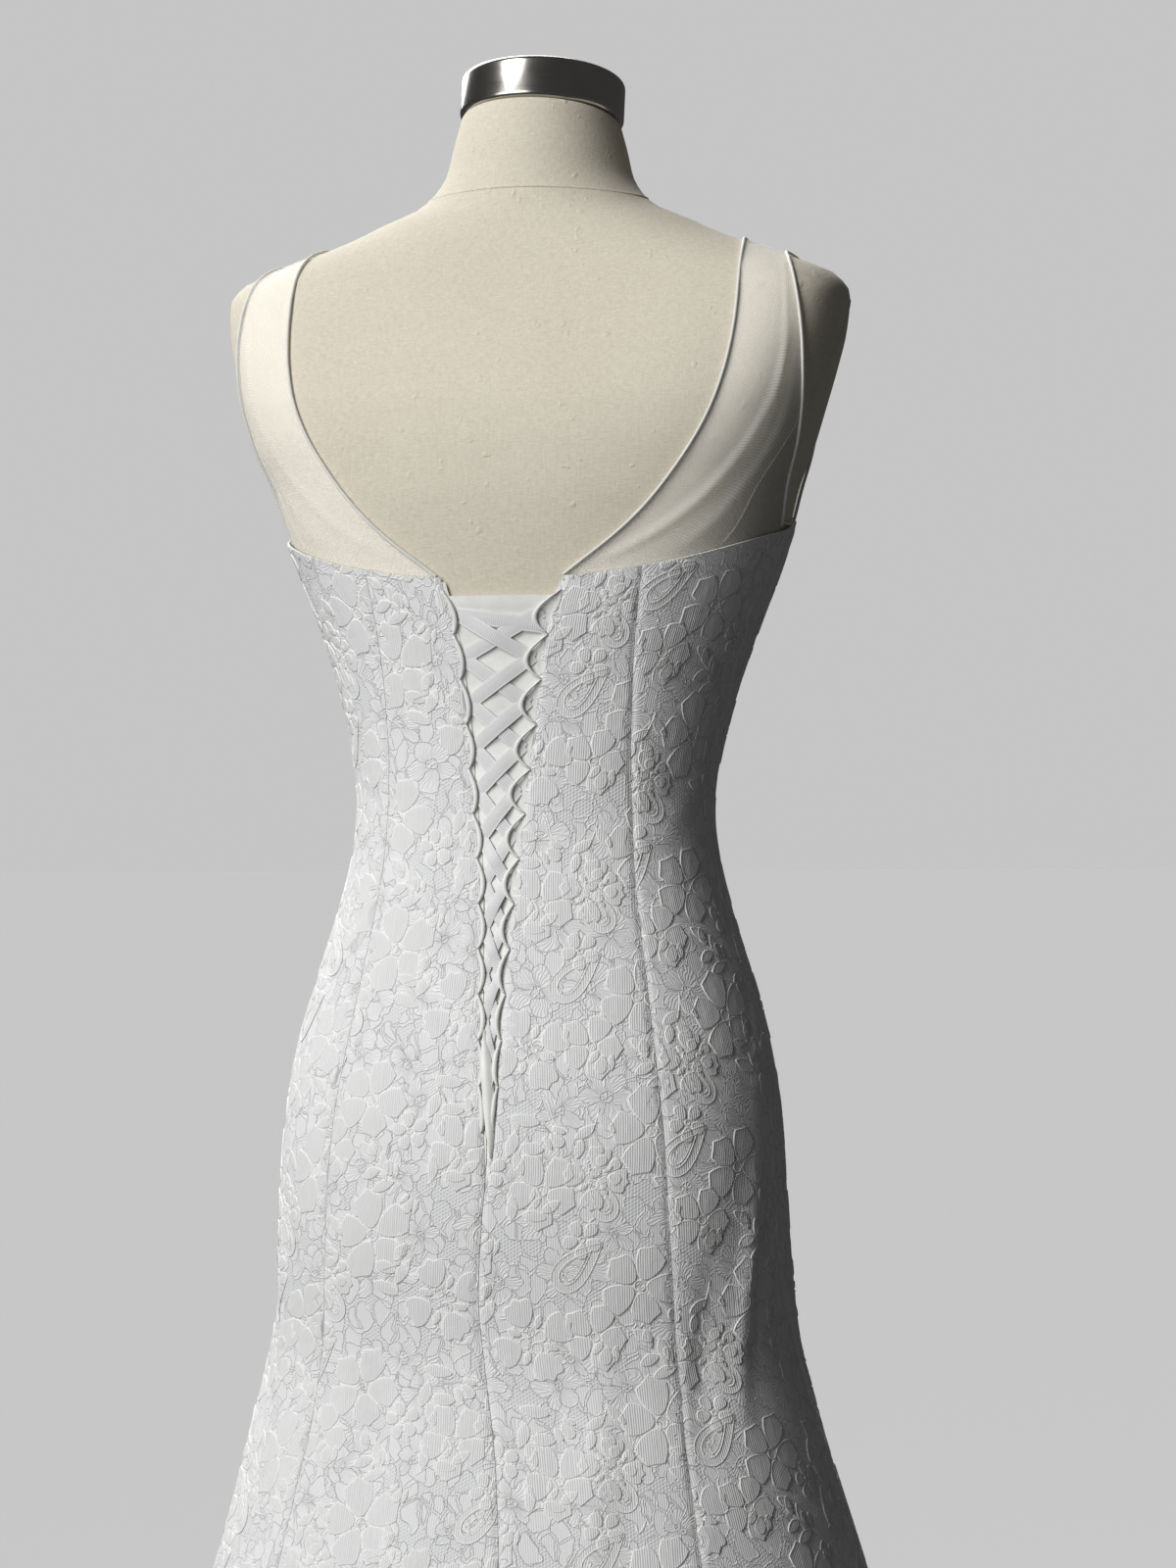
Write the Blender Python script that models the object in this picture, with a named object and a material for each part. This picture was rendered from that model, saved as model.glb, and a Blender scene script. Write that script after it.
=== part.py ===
"""A corded-lace trumpet wedding dress, laced up the back, standing on a limbless dress form.

Metres, +Z up. The dress faces -Y, so its back is at +Y, and the wearer's left is +X.
The origin is on the floor, under the middle of the stand.
"""
import math

import bmesh
import bpy
from mathutils import Vector
from mathutils.bvhtree import BVHTree

# Driving dimensions of the cloth and the seams
CLOTH = 0.0015              # thickness of the lace over satin
FORM_EASE = 0.0021          # from the form's skin to the inside of the dress
SEAM_GAP = 0.0003           # between two neighbouring pieces
MESH_CLOTH = 0.0010         # thickness of the sheer mesh of the yoke
MESH_EASE = 0.0010          # from the form's skin to the mesh
PANEL_CLOTH = 0.0010        # thickness of the satin panel behind the lacing
PANEL_EASE = 0.0006         # from the form's skin to the panel
PANEL_TUCK = 0.016          # how far the panel goes under each edge of the opening
PANEL_TOP = 1.182

# Driving dimensions of the trim
BINDING_RADIUS = 0.0015
LOOP_RADIUS = 0.0016
LOOP_COUNT = 10
LOOP_EASE = 0.0009          # from the panel to the loops
LOOP_REACH = 0.0115         # from the edge of the opening to the tip of a loop
LOOP_TOP = 1.186
LOOP_BOTTOM = 0.896
RIBBON_WIDTH = 0.009
RIBBON_CLOTH = 0.0008
TOP_RIBBON_HEIGHT = 1.168
TOP_RIBBON_DROP = 0.006

# Driving dimensions of the stand
FORM_BOTTOM = 0.765
NECK_SEAM = 1.441           # where the neck starts to lean forward
NECK_TOP = 1.497
NECK_MIDDLE = -0.03325      # y of the middle of the neck's top
NECK_TILT = math.radians(12.5)
NECK_EDGE = 0.0015          # rounded edge of the neck's top
CAP_HEIGHT = 0.029
CAP_RADIUS = 0.0545
POLE_RADIUS = 0.016
BASE_RADIUS = 0.165
BASE_HEIGHT = 0.022
COLLAR_RADIUS = 0.030
COLLAR_FOOT = 0.036         # radius of the collar's foot
COLLAR_TOP = 0.075
FORM_EDGE = ((0.0, 0.94), (0.006, 0.985))   # rounded lower edge of the form: height over its bottom, share

HEM = 0.012                 # height of the hem over the floor
OPENING_BOTTOM = 0.806      # where the back opening ends in the centre-back seam

# Rings of the body line, which is the skin of the form and, below it, the line the skirt falls on.
# height, half width, depth of the back, depth of the front, squareness
RINGS = (
    (0.012, 0.3920, 0.3540, 0.3460, 0.000),
    (0.100, 0.3580, 0.3230, 0.3160, 0.005),
    (0.250, 0.3045, 0.2660, 0.2620, 0.010),
    (0.400, 0.2555, 0.2110, 0.2110, 0.015),
    (0.545, 0.2124, 0.1600, 0.1620, 0.020),
    (0.609, 0.1925, 0.1400, 0.1420, 0.025),
    (0.660, 0.1767, 0.1255, 0.1235, 0.030),
    (0.700, 0.1667, 0.1190, 0.1075, 0.030),
    (0.763, 0.1652, 0.1225, 0.1010, 0.030),
    (0.820, 0.1625, 0.1210, 0.1030, 0.030),
    (0.866, 0.1576, 0.1140, 0.1050, 0.030),
    (0.918, 0.1456, 0.1010, 0.1000, 0.030),
    (0.970, 0.1287, 0.0895, 0.0930, 0.030),
    (1.005, 0.1188, 0.0825, 0.0890, 0.030),
    (1.043, 0.1131, 0.0770, 0.0870, 0.030),
    (1.085, 0.1194, 0.0755, 0.0970, 0.030),
    (1.125, 0.1292, 0.0775, 0.1110, 0.030),
    (1.165, 0.1424, 0.0810, 0.1210, 0.035),
    (1.202, 0.1569, 0.0850, 0.1260, 0.040),
    (1.228, 0.1661, 0.0880, 0.1250, 0.045),
    (1.254, 0.1735, 0.0900, 0.1200, 0.050),
    (1.279, 0.1841, 0.0895, 0.1140, 0.055),
    (1.305, 0.1926, 0.0860, 0.1090, 0.060),
    (1.331, 0.2002, 0.0765, 0.1045, 0.065),
    (1.357, 0.2062, 0.0640, 0.1000, 0.070),
    (1.380, 0.2086, 0.0540, 0.0940, 0.065),
    (1.392, 0.2006, 0.0495, 0.0860, 0.055),
    (1.402, 0.1772, 0.0460, 0.0770, 0.040),
    (1.412, 0.1489, 0.0430, 0.0710, 0.030),
    (1.421, 0.1248, 0.0400, 0.0690, 0.020),
    (1.431, 0.1038, 0.0375, 0.0710, 0.010),
    (1.441, 0.0803, 0.0350, 0.0750, 0.000),
    (1.450, 0.0699, 0.0330, 0.0800, 0.000),
    (1.462, 0.0623, 0.0300, 0.0860, 0.000),
    (1.480, 0.0577, 0.0260, 0.0880, 0.000),
    (1.497, 0.0530, 0.0205, 0.0870, 0.000),
)

# Bust of a general figure: half spread, height, reach, half breadth, half length
BUST = (0.078, 1.172, 0.021, 0.054, 0.060)

# Soft flutes that the skirt falls into below the knee.
# angle from the centre back in degrees, half breadth in degrees, depth at the hem
FLUTES = (
    (12, 9, 0.020),
    (40, 10, 0.024),
    (69, 9, 0.018),
    (98, 10, 0.023),
    (127, 9, 0.017),
    (155, 10, 0.022),
    (184, 10, 0.018),
    (212, 9, 0.023),
    (240, 10, 0.017),
    (268, 9, 0.024),
    (297, 10, 0.019),
    (325, 9, 0.023),
)
FLUTE_TOP = 0.700

# Angles of the long seams in degrees. The centre-back seam sways to one side below the hips.
# height, centre-back seam, back princess seam, side seam, front princess seam
SEAMS = (
    (0.012, -6.0, 41, 91, 135),
    (0.400, -5.0, 40, 91, 135),
    (0.573, -3.4, 39, 92, 136),
    (0.634, -1.8, 39, 92, 136),
    (0.687, 0.7, 40, 92, 137),
    (0.730, 2.0, 40, 92, 137),
    (0.780, 1.2, 39.5, 92, 137),
    (0.830, 0.0, 39, 92, 137),
    (0.900, 0.0, 38, 92, 137),
    (0.997, 0.0, 40, 92, 137),
    (1.035, 0.0, 41, 92, 137),
    (1.085, 0.0, 38.3, 92, 137),
    (1.190, 0.0, 32, 92, 140),
    (1.250, 0.0, 30, 92, 142),
)

# Top edge of the bodice: angle from the centre back in degrees, height
TOP_EDGE = (
    (0, 1.1930),
    (15, 1.1945),
    (33, 1.2010),
    (48, 1.2090),
    (65, 1.2180),
    (90, 1.2270),
    (115, 1.2360),
    (141, 1.2490),
    (160, 1.2400),
    (180, 1.2180),
)

# Half width of the laced back opening: height, half width
OPENING = (
    (0.806, 0.0003),
    (0.833, 0.0024),
    (0.867, 0.0055),
    (0.898, 0.0075),
    (0.935, 0.0097),
    (0.997, 0.0130),
    (1.029, 0.0170),
    (1.060, 0.0206),
    (1.098, 0.0250),
    (1.158, 0.0303),
    (1.194, 0.0400),
)
OPENING_LEAN = 0.0045       # the top of the opening stands this far to the wearer's right
LEAN_START = 1.05

# Edges of the yoke as height and half width, from the bodice up to the shoulder
NECK_BACK = (
    (1.201, 0.0430),
    (1.213, 0.0685),
    (1.230, 0.0890),
    (1.250, 0.1065),
    (1.270, 0.1200),
    (1.290, 0.1338),
    (1.310, 0.1425),
    (1.335, 0.1477),
    (1.357, 0.1502),
    (1.377, 0.1508),
    (1.395, 0.1485),
)
NECK_FRONT = (
    (1.246, 0.0560),
    (1.262, 0.0830),
    (1.290, 0.1060),
    (1.330, 0.1230),
    (1.370, 0.1320),
    (1.395, 0.1360),
)
NECK_SHOULDER = 0.1400      # half width where the neckline crosses the shoulder
ARMHOLE_BACK = (
    (1.262, 0.1745),
    (1.290, 0.1840),
    (1.310, 0.1870),
    (1.327, 0.1880),
    (1.347, 0.1885),
    (1.370, 0.1865),
    (1.385, 0.1820),
    (1.397, 0.1755),
)
ARMHOLE_FRONT = (
    (1.255, 0.1690),
    (1.285, 0.1750),
    (1.327, 0.1790),
    (1.365, 0.1800),
    (1.392, 0.1760),
)
ARMHOLE_SHOULDER = 0.1680   # half width where the armhole crosses the shoulder
ARMHOLE_FOOT = (84, 100)    # angles of the yoke's lower corners at the armhole, back and front

# Heights at which the walls have a row of points, up to the last one before the top edge
ROWS = (0.012, 0.09, 0.17, 0.25, 0.33, 0.41, 0.48, 0.545, 0.60, 0.65, 0.695, 0.74, 0.785, 0.83,
        0.87, 0.91, 0.95, 0.985, 1.02, 1.055, 1.09, 1.12, 1.147, 1.172)
TOP_ROWS = (0.34, 0.68, 1.0)
FORM_ROWS = (0.785, 0.83, 0.87, 0.91, 0.95, 0.985, 1.02, 1.055, 1.09, 1.12, 1.147, 1.172, 1.20,
             1.228, 1.254, 1.279, 1.305, 1.331, 1.357, 1.372, 1.383, 1.392, 1.402, 1.412, 1.421,
             1.431, 1.441, 1.450, 1.464, 1.480, 1.497)
FORM_COLUMNS = 40
YOKE_COLUMNS = 8
YOKE_ROWS = 12
LIFT_PASSES = 16

# Colours, roughness and metallic of the materials
FINISHES = {
    "lace over satin": ((0.86, 0.86, 0.84), 0.60, 0.0),
    "sheer mesh": ((0.90, 0.90, 0.88), 0.70, 0.0),
    "satin": ((0.90, 0.89, 0.85), 0.35, 0.0),
    "form linen": ((0.78, 0.70, 0.56), 0.80, 0.0),
    "polished metal": ((0.32, 0.31, 0.30), 0.20, 1.0),
    "painted metal": ((0.05, 0.05, 0.05), 0.40, 0.6),
}


def smooth_table(rows):
    """Return a function that reads every column of a table smoothly at a value of the first one."""
    keys = [row[0] for row in rows]
    last = len(rows) - 1

    def slope(index, column):
        if index in (0, last):
            other = 1 if index == 0 else last - 1
            return (rows[index][column] - rows[other][column]) / (keys[index] - keys[other])
        before = (rows[index][column] - rows[index - 1][column]) / (keys[index] - keys[index - 1])
        after = (rows[index + 1][column] - rows[index][column]) / (keys[index + 1] - keys[index])
        if before * after <= 0:
            return 0.0
        return 2 * before * after / (before + after)

    slopes = [[slope(i, c) for c in range(1, len(rows[0]))] for i in range(len(rows))]

    def read(value):
        value = min(max(value, keys[0]), keys[last])
        i = max(n for n in range(last) if keys[n] <= value)
        step = keys[i + 1] - keys[i]
        s = (value - keys[i]) / step
        out = []
        for c in range(1, len(rows[0])):
            low, high = rows[i][c], rows[i + 1][c]
            out.append(
                low * (1 + 2 * s) * (1 - s) ** 2
                + slopes[i][c - 1] * step * s * (1 - s) ** 2
                + high * s * s * (3 - 2 * s)
                + slopes[i + 1][c - 1] * step * s * s * (s - 1)
            )
        return out

    return read


ring_at = smooth_table(RINGS)
seams_at = smooth_table(SEAMS)
opening_at = smooth_table(OPENING)
top_edge_at = smooth_table(TOP_EDGE)


def flute_depth(angle, height):
    """How far the skirt's flutes push the cloth out."""
    if height >= FLUTE_TOP:
        return 0.0
    fall = ((FLUTE_TOP - height) / (FLUTE_TOP - HEM)) ** 1.6
    degrees = math.degrees(angle) % 360
    push = -0.006
    for middle, breadth, depth in FLUTES:
        away = abs((degrees - middle + 180) % 360 - 180)
        push += depth * math.exp(-((away / breadth) ** 2))
    return push * fall


def body_point(angle, height):
    """Point of the body line; the angle runs from the centre back towards +X."""
    half, back, front, square = ring_at(height)
    x = half * (math.sin(angle) + square * math.sin(3 * angle)) / (1 - square)
    wave = (math.cos(angle) - square * math.cos(3 * angle)) / (1 - square)
    y = (back - front) / 2 + (back + front) / 2 * wave
    if wave < 0:
        spread, level, reach, breadth, length = BUST
        for side in (-1, 1):
            across = ((x - side * spread) / breadth) ** 2
            along = ((height - level) / length) ** 2
            y -= reach * -wave * math.exp(-across - along)
    push = flute_depth(angle, height)
    return Vector((x + push * math.sin(angle), y + push * math.cos(angle), height))


def body_normal(angle, height):
    """Outward normal of the body line."""
    step = 1e-3
    low = max(height - step, RINGS[0][0])
    high = min(height + step, RINGS[-1][0])
    across = body_point(angle + step, height) - body_point(angle - step, height)
    upwards = body_point(angle, high) - body_point(angle, low)
    return upwards.cross(across).normalized()


def off_body(angle, height, out):
    """Point that stands off the body line by a distance."""
    return body_point(angle, height) + body_normal(angle, height) * out


def angle_of(x, height, front=False):
    """Angle at which the body line has this x, on its back or its front."""
    low, high = 0.0, math.pi / 2
    size = min(abs(x), body_point(math.pi / 2, height).x * 0.9999)
    for _ in range(40):
        middle = (low + high) / 2
        if body_point(middle, height).x < size:
            low = middle
        else:
            high = middle
    angle = math.pi - low if front else low
    return math.copysign(angle, x)


def shoulder_height(x):
    """Height of the shoulder line at a half width."""
    low, high = 1.385, 1.450
    for _ in range(40):
        middle = (low + high) / 2
        if ring_at(middle)[0] > x:
            low = middle
        else:
            high = middle
    return low


def top_edge(angle):
    """Height of the bodice's top edge."""
    return top_edge_at(abs((math.degrees(angle) + 180) % 360 - 180))[0]


def material(name):
    """Material of a finish, made once."""
    if name in bpy.data.materials:
        return bpy.data.materials[name]
    made = bpy.data.materials.new(name)
    made.use_nodes = True
    colour, roughness, metallic = FINISHES[name]
    shader = made.node_tree.nodes["Principled BSDF"]
    shader.inputs["Base Color"].default_value = (*colour, 1.0)
    shader.inputs["Roughness"].default_value = roughness
    shader.inputs["Metallic"].default_value = metallic
    made.diffuse_color = (*colour, 1.0)
    return made


def make_object(name, bm, finish):
    """Turn a bmesh into a named object with its faces out and its round faces smooth."""
    bmesh.ops.recalc_face_normals(bm, faces=bm.faces)
    mesh = bpy.data.meshes.new(name)
    bm.to_mesh(mesh)
    bm.free()
    mesh.shade_smooth()
    mesh.set_sharp_from_angle(angle=math.radians(40))
    mesh.materials.append(material(finish))
    made = bpy.data.objects.new(name, mesh)
    bpy.context.scene.collection.objects.link(made)
    return made


def make_wall(name, outside, inside, finish):
    """Closed wall of cloth between two grids of points, given row by row."""
    bm = bmesh.new()
    sheets = [[[bm.verts.new(p) for p in row] for row in grid] for grid in (outside, inside)]
    rows, columns = len(outside), len(outside[0])
    for sheet in sheets:
        for i in range(rows - 1):
            for j in range(columns - 1):
                bm.faces.new((sheet[i][j], sheet[i][j + 1], sheet[i + 1][j + 1], sheet[i + 1][j]))
    rim = [(0, j) for j in range(columns)]
    rim += [(i, columns - 1) for i in range(1, rows)]
    rim += [(rows - 1, j) for j in range(columns - 2, -1, -1)]
    rim += [(i, 0) for i in range(rows - 2, 0, -1)]
    out, inn = sheets
    for (i, j), (m, n) in zip(rim, rim[1:] + rim[:1]):
        bm.faces.new((out[i][j], out[m][n], inn[m][n], inn[i][j]))
    return make_object(name, bm, finish)


def make_turned(name, profile, sides, finish):
    """Round piece from a profile of radius and height, listed from its foot to its top."""
    bm = bmesh.new()
    rings = []
    for radius, height in profile:
        turn = [2 * math.pi * n / sides for n in range(sides)]
        rings.append([
            bm.verts.new((radius * math.cos(a), radius * math.sin(a), height))
            for a in turn
        ])
    for low, high in zip(rings, rings[1:]):
        for n in range(sides):
            m = (n + 1) % sides
            bm.faces.new((low[n], low[m], high[m], high[n]))
    bm.faces.new(rings[0])
    bm.faces.new(rings[-1])
    return make_object(name, bm, finish)


def make_tube(name, points, radius, finish, closed=False):
    """Round trim along a line of points, as a curve with filled ends."""
    curve = bpy.data.curves.new(name, "CURVE")
    curve.dimensions = "3D"
    curve.bevel_depth = radius
    curve.bevel_resolution = 1
    curve.use_fill_caps = not closed
    spline = curve.splines.new("POLY")
    spline.points.add(len(points) - 1)
    for target, point in zip(spline.points, points):
        target.co = (*point, 1.0)
    spline.use_cyclic_u = closed
    curve.materials.append(material(finish))
    made = bpy.data.objects.new(name, curve)
    bpy.context.scene.collection.objects.link(made)
    return made


def opening_edge(height, side):
    """Angle of the edge of the back opening, or of the centre-back seam below it."""
    width = 0.0
    lean = 0.0
    if height > OPENING_BOTTOM:
        width = opening_at(height)[0]
        lean = OPENING_LEAN * max(0.0, (height - LEAN_START) / (TOP_EDGE[0][1] - LEAN_START))
    half, _, _, square = ring_at(height)
    sway = math.radians(seams_at(height)[0])
    return sway + (side * width - lean) * (1 - square) / (1 + 3 * square) / half


def seam_angle(index, height, side):
    """Angle of a long seam: 1 the back princess seam, 2 the side seam, 3 the front one."""
    return side * math.radians(seams_at(height)[index])


def gore_grid(first, second, columns, out):
    """Grid of a gore between two seams, from the hem to the top edge."""
    grid = []
    fixed = ROWS[-1]
    for row in range(len(ROWS) + len(TOP_ROWS)):
        line = []
        for column in range(columns + 1):
            share = column / columns
            height = ROWS[row] if row < len(ROWS) else fixed
            angle = first(height) * (1 - share) + second(height) * share
            if row >= len(ROWS):
                for _ in range(4):
                    height = fixed + (top_edge(angle) - fixed) * TOP_ROWS[row - len(ROWS)]
                    angle = first(height) * (1 - share) + second(height) * share
            spacing = SEAM_GAP / 2 / body_point(math.pi / 2, height).x
            spacing *= (column == 0) - (column == columns)
            line.append(off_body(angle + spacing * turn_sign(first, second, height), height, out))
        grid.append(line)
    return grid


def turn_sign(first, second, height):
    """Which way a gore runs round the body."""
    return 1 if second(height) > first(height) else -1


def make_gore(name, first, second, columns):
    """One gore of the dress as a closed wall."""
    inside = gore_grid(first, second, columns, FORM_EASE)
    outside = gore_grid(first, second, columns, FORM_EASE + CLOTH)
    return make_wall(name, outside, inside, "lace over satin")


def make_dress():
    """The seven gores, from hem to top edge."""
    make_gore(
        "center_front",
        lambda z: seam_angle(3, z, 1),
        lambda z: 2 * math.pi - seam_angle(3, z, 1),
        10,
    )
    for letter, side in (("L", 1), ("R", -1)):
        make_gore(
            f"center_back_{letter}",
            lambda z, side=side: opening_edge(z, side),
            lambda z, side=side: seam_angle(1, z, side),
            7,
        )
        make_gore(
            f"side_back_{letter}",
            lambda z, side=side: seam_angle(1, z, side),
            lambda z, side=side: seam_angle(2, z, side),
            7,
        )
        make_gore(
            f"side_front_{letter}",
            lambda z, side=side: seam_angle(2, z, side),
            lambda z, side=side: seam_angle(3, z, side),
            7,
        )


def make_panel():
    """Satin panel behind the lacing."""
    heights = [z for z in ROWS if z > OPENING_BOTTOM] + [PANEL_TOP]
    grids = []
    for out in (PANEL_EASE + PANEL_CLOTH, PANEL_EASE):
        grid = []
        for height in heights:
            low = opening_edge(height, -1) - PANEL_TUCK / ring_at(height)[0]
            high = opening_edge(height, 1) + PANEL_TUCK / ring_at(height)[0]
            grid.append([off_body(low + (high - low) * n / 6, height, out) for n in range(7)])
        grids.append(grid)
    make_wall("modesty_panel", grids[0], grids[1], "satin")


def loop_reach(height):
    """How far a loop stands into the opening: less where the opening is narrow."""
    return min(LOOP_REACH, opening_at(height)[0] * 0.42)


def make_loops():
    """A row of lacing loops along each edge of the opening."""
    pitch = (LOOP_TOP - LOOP_BOTTOM) / LOOP_COUNT
    lift = PANEL_EASE + PANEL_CLOTH + LOOP_RADIUS + LOOP_EASE
    for letter, side in (("L", 1), ("R", -1)):
        points = []
        for loop in range(LOOP_COUNT):
            for share, reach in ((0.0, 0.0), (0.2, 0.62), (0.5, 1.0), (0.8, 0.62)):
                height = LOOP_TOP - pitch * (loop + share)
                inset = LOOP_RADIUS + 2 * SEAM_GAP + reach * (loop_reach(height) - LOOP_RADIUS)
                half = ring_at(height)[0]
                angle = opening_edge(height, side) - side * inset / half
                points.append(off_body(angle, height, lift))
        make_tube(f"lacing_loops_{letter}", points, LOOP_RADIUS, "satin")


def ribbon_grid(stations, out):
    """Grid of a flat ribbon that runs through stations of x and height on the back."""
    grid = []
    middle = [Vector((x, z)) for x, z in stations]
    for i, station in enumerate(middle):
        before = middle[max(i - 1, 0)]
        after = middle[min(i + 1, len(middle) - 1)]
        first = (station - before).normalized() if i else (after - station).normalized()
        second = (after - station).normalized() if after != station else first
        along = (first + second).normalized() if (first + second).length > 0.3 else first
        across = Vector((-along.y, along.x))
        row = []
        for share in (-0.5, 0.0, 0.5):
            x, z = station + across * RIBBON_WIDTH * share
            row.append(off_body(angle_of(x, z), z, out))
        grid.append(row)
    return grid


def make_ribbon(name, stations, out):
    """Flat ribbon as a closed strip."""
    outside = ribbon_grid(stations, out + RIBBON_CLOTH)
    inside = ribbon_grid(stations, out)
    make_wall(name, outside, inside, "satin")


def opening_x(height, side):
    """Where the edge of the opening stands, in metres."""
    return body_point(opening_edge(height, side), height).x


def make_lacing():
    """Two crossed ribbons and the straight one at the top."""
    pitch = (LOOP_TOP - LOOP_BOTTOM) / LOOP_COUNT
    above_loops = PANEL_EASE + PANEL_CLOTH + LOOP_EASE + 2 * LOOP_RADIUS + 2 * SEAM_GAP
    for name, first_side, layer in (("A", 1, 1), ("B", -1, 0)):
        stations = []
        out = above_loops + layer * (RIBBON_CLOTH + 2 * SEAM_GAP)
        for loop in range(LOOP_COUNT):
            height = LOOP_TOP - pitch * (loop + 0.5)
            side = first_side * (1 if loop % 2 == 0 else -1)
            reach = opening_x(height, side) - side * loop_reach(height) * 0.55
            turn = RIBBON_WIDTH * 0.35
            if stations:
                last_reach, last_height = stations[-1]
                for share in (0.33, 0.67):
                    drop = (height + turn - last_height) * share
                    stations.append((last_reach + (reach - last_reach) * share, last_height + drop))
            stations.append((reach, height + turn))
            stations.append((reach, height - turn))
        make_ribbon(f"lacing_ribbon_{name}", stations, out)
    left = opening_x(TOP_RIBBON_HEIGHT, 1) + 0.002
    right = opening_x(TOP_RIBBON_HEIGHT, -1) - 0.002
    drop = TOP_RIBBON_DROP / 4
    stations = [(left + (right - left) * n / 4, TOP_RIBBON_HEIGHT - drop * n) for n in range(5)]
    out = above_loops + 2 * (RIBBON_CLOTH + 2 * SEAM_GAP)
    make_ribbon("lacing_ribbon_top", stations, out)


def make_form():
    """The padded form: a closed torso from the hips to the neck. Returns its surface for fitting."""
    bm = bmesh.new()
    rings = []
    for height in FORM_ROWS:
        turn = [2 * math.pi * n / FORM_COLUMNS for n in range(FORM_COLUMNS)]
        rings.append([bm.verts.new(body_point(a, height)) for a in turn])
    for place, (rise, share) in enumerate(FORM_EDGE):
        ring = []
        for vert in rings[place]:
            x, y, _ = vert.co
            ring.append(bm.verts.new((x * share, y * share, FORM_BOTTOM + rise)))
        rings.insert(place, ring)
    neck = []
    for vert in rings[-1]:
        x, y, z = vert.co
        inner = (x * 0.96, NECK_MIDDLE + (y - NECK_MIDDLE) * 0.96, z + NECK_EDGE)
        neck.append(bm.verts.new(inner))
    rings.append(neck)
    for ring in rings:
        for vert in ring:
            lean = min(max((vert.co.z - NECK_SEAM) / (NECK_TOP - NECK_SEAM), 0.0), 1.0)
            vert.co.z += (vert.co.y - NECK_MIDDLE) * math.tan(NECK_TILT) * lean * lean
    for low, high in zip(rings, rings[1:]):
        for n in range(FORM_COLUMNS):
            m = (n + 1) % FORM_COLUMNS
            bm.faces.new((low[n], low[m], high[m], high[n]))
    bm.faces.new(rings[0])
    bm.faces.new(rings[-1])
    bmesh.ops.recalc_face_normals(bm, faces=bm.faces)
    surface = BVHTree.FromBMesh(bm)
    make_object("form_torso", bm, "form linen")
    return surface


def make_stand():
    """Neck cap, pole, base and the collar that holds the pole."""
    cap = (
        (CAP_RADIUS - 0.0012, 0.0),
        (CAP_RADIUS, 0.0012),
        (CAP_RADIUS, CAP_HEIGHT - 0.007),
        (CAP_RADIUS - 0.001, CAP_HEIGHT - 0.0035),
        (CAP_RADIUS - 0.0035, CAP_HEIGHT - 0.001),
        (CAP_RADIUS - 0.007, CAP_HEIGHT),
    )
    neck_cap = make_turned("form_neck_cap", cap, 40, "polished metal")
    lift = NECK_EDGE + 2 * SEAM_GAP
    neck_cap.location = (0.0, NECK_MIDDLE - lift * math.sin(NECK_TILT), NECK_TOP + lift)
    neck_cap.rotation_euler = (NECK_TILT, 0.0, 0.0)
    pole = ((POLE_RADIUS, COLLAR_TOP + SEAM_GAP), (POLE_RADIUS, FORM_BOTTOM - SEAM_GAP))
    make_turned("form_pole", pole, 24, "painted metal")
    base = (
        (BASE_RADIUS - 0.002, 0.0),
        (BASE_RADIUS, 0.002),
        (BASE_RADIUS, BASE_HEIGHT * 0.6),
        (BASE_RADIUS - 0.006, BASE_HEIGHT * 0.85),
        (BASE_RADIUS - 0.020, BASE_HEIGHT),
    )
    make_turned("form_base", base, 36, "painted metal")
    collar = (
        (COLLAR_FOOT, BASE_HEIGHT + SEAM_GAP),
        (COLLAR_FOOT, BASE_HEIGHT + 0.003),
        (COLLAR_RADIUS, BASE_HEIGHT + 0.009),
        (COLLAR_RADIUS, COLLAR_TOP - 0.003),
        (COLLAR_RADIUS - 0.003, COLLAR_TOP),
    )
    make_turned("form_collar", collar, 24, "painted metal")


def even_line(points, count):
    """Points spread evenly along a line through the given ones."""
    lengths = [0.0]
    for before, after in zip(points, points[1:]):
        lengths.append(lengths[-1] + (after - before).length)
    out = []
    for n in range(count):
        want = lengths[-1] * n / (count - 1)
        i = max(k for k in range(len(points) - 1) if lengths[k] <= want + 1e-9)
        span = lengths[i + 1] - lengths[i]
        out.append(points[i].lerp(points[i + 1], (want - lengths[i]) / span))
    return out


def yoke_edges(front):
    """Neckline, armhole and lower edge of one half of the yoke, on the wearer's left."""
    lift = SEAM_GAP + 0.0002
    neck_table = NECK_FRONT if front else NECK_BACK
    arm_table = ARMHOLE_FRONT if front else ARMHOLE_BACK
    foot = math.radians(ARMHOLE_FOOT[1 if front else 0])
    corner = angle_of(neck_table[0][1], neck_table[0][0], front)
    neck = [body_point(corner, top_edge(corner) + lift)]
    for height, x in neck_table[1:]:
        neck.append(body_point(angle_of(x, height, front), height))
    arm = [body_point(foot, top_edge(foot) + lift)]
    for height, x in arm_table:
        arm.append(body_point(angle_of(x, height, front), height))
    step = 0.0002 if front else -0.0002
    for line, x in ((neck, NECK_SHOULDER), (arm, ARMHOLE_SHOULDER)):
        line.append(body_point(math.pi / 2, shoulder_height(x)) - Vector((0, step, 0)))
    lower = []
    for n in range(YOKE_COLUMNS + 1):
        angle = corner + (foot - corner) * n / YOKE_COLUMNS
        lower.append(body_point(angle, top_edge(angle) + lift))
    return neck, arm, lower


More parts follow.
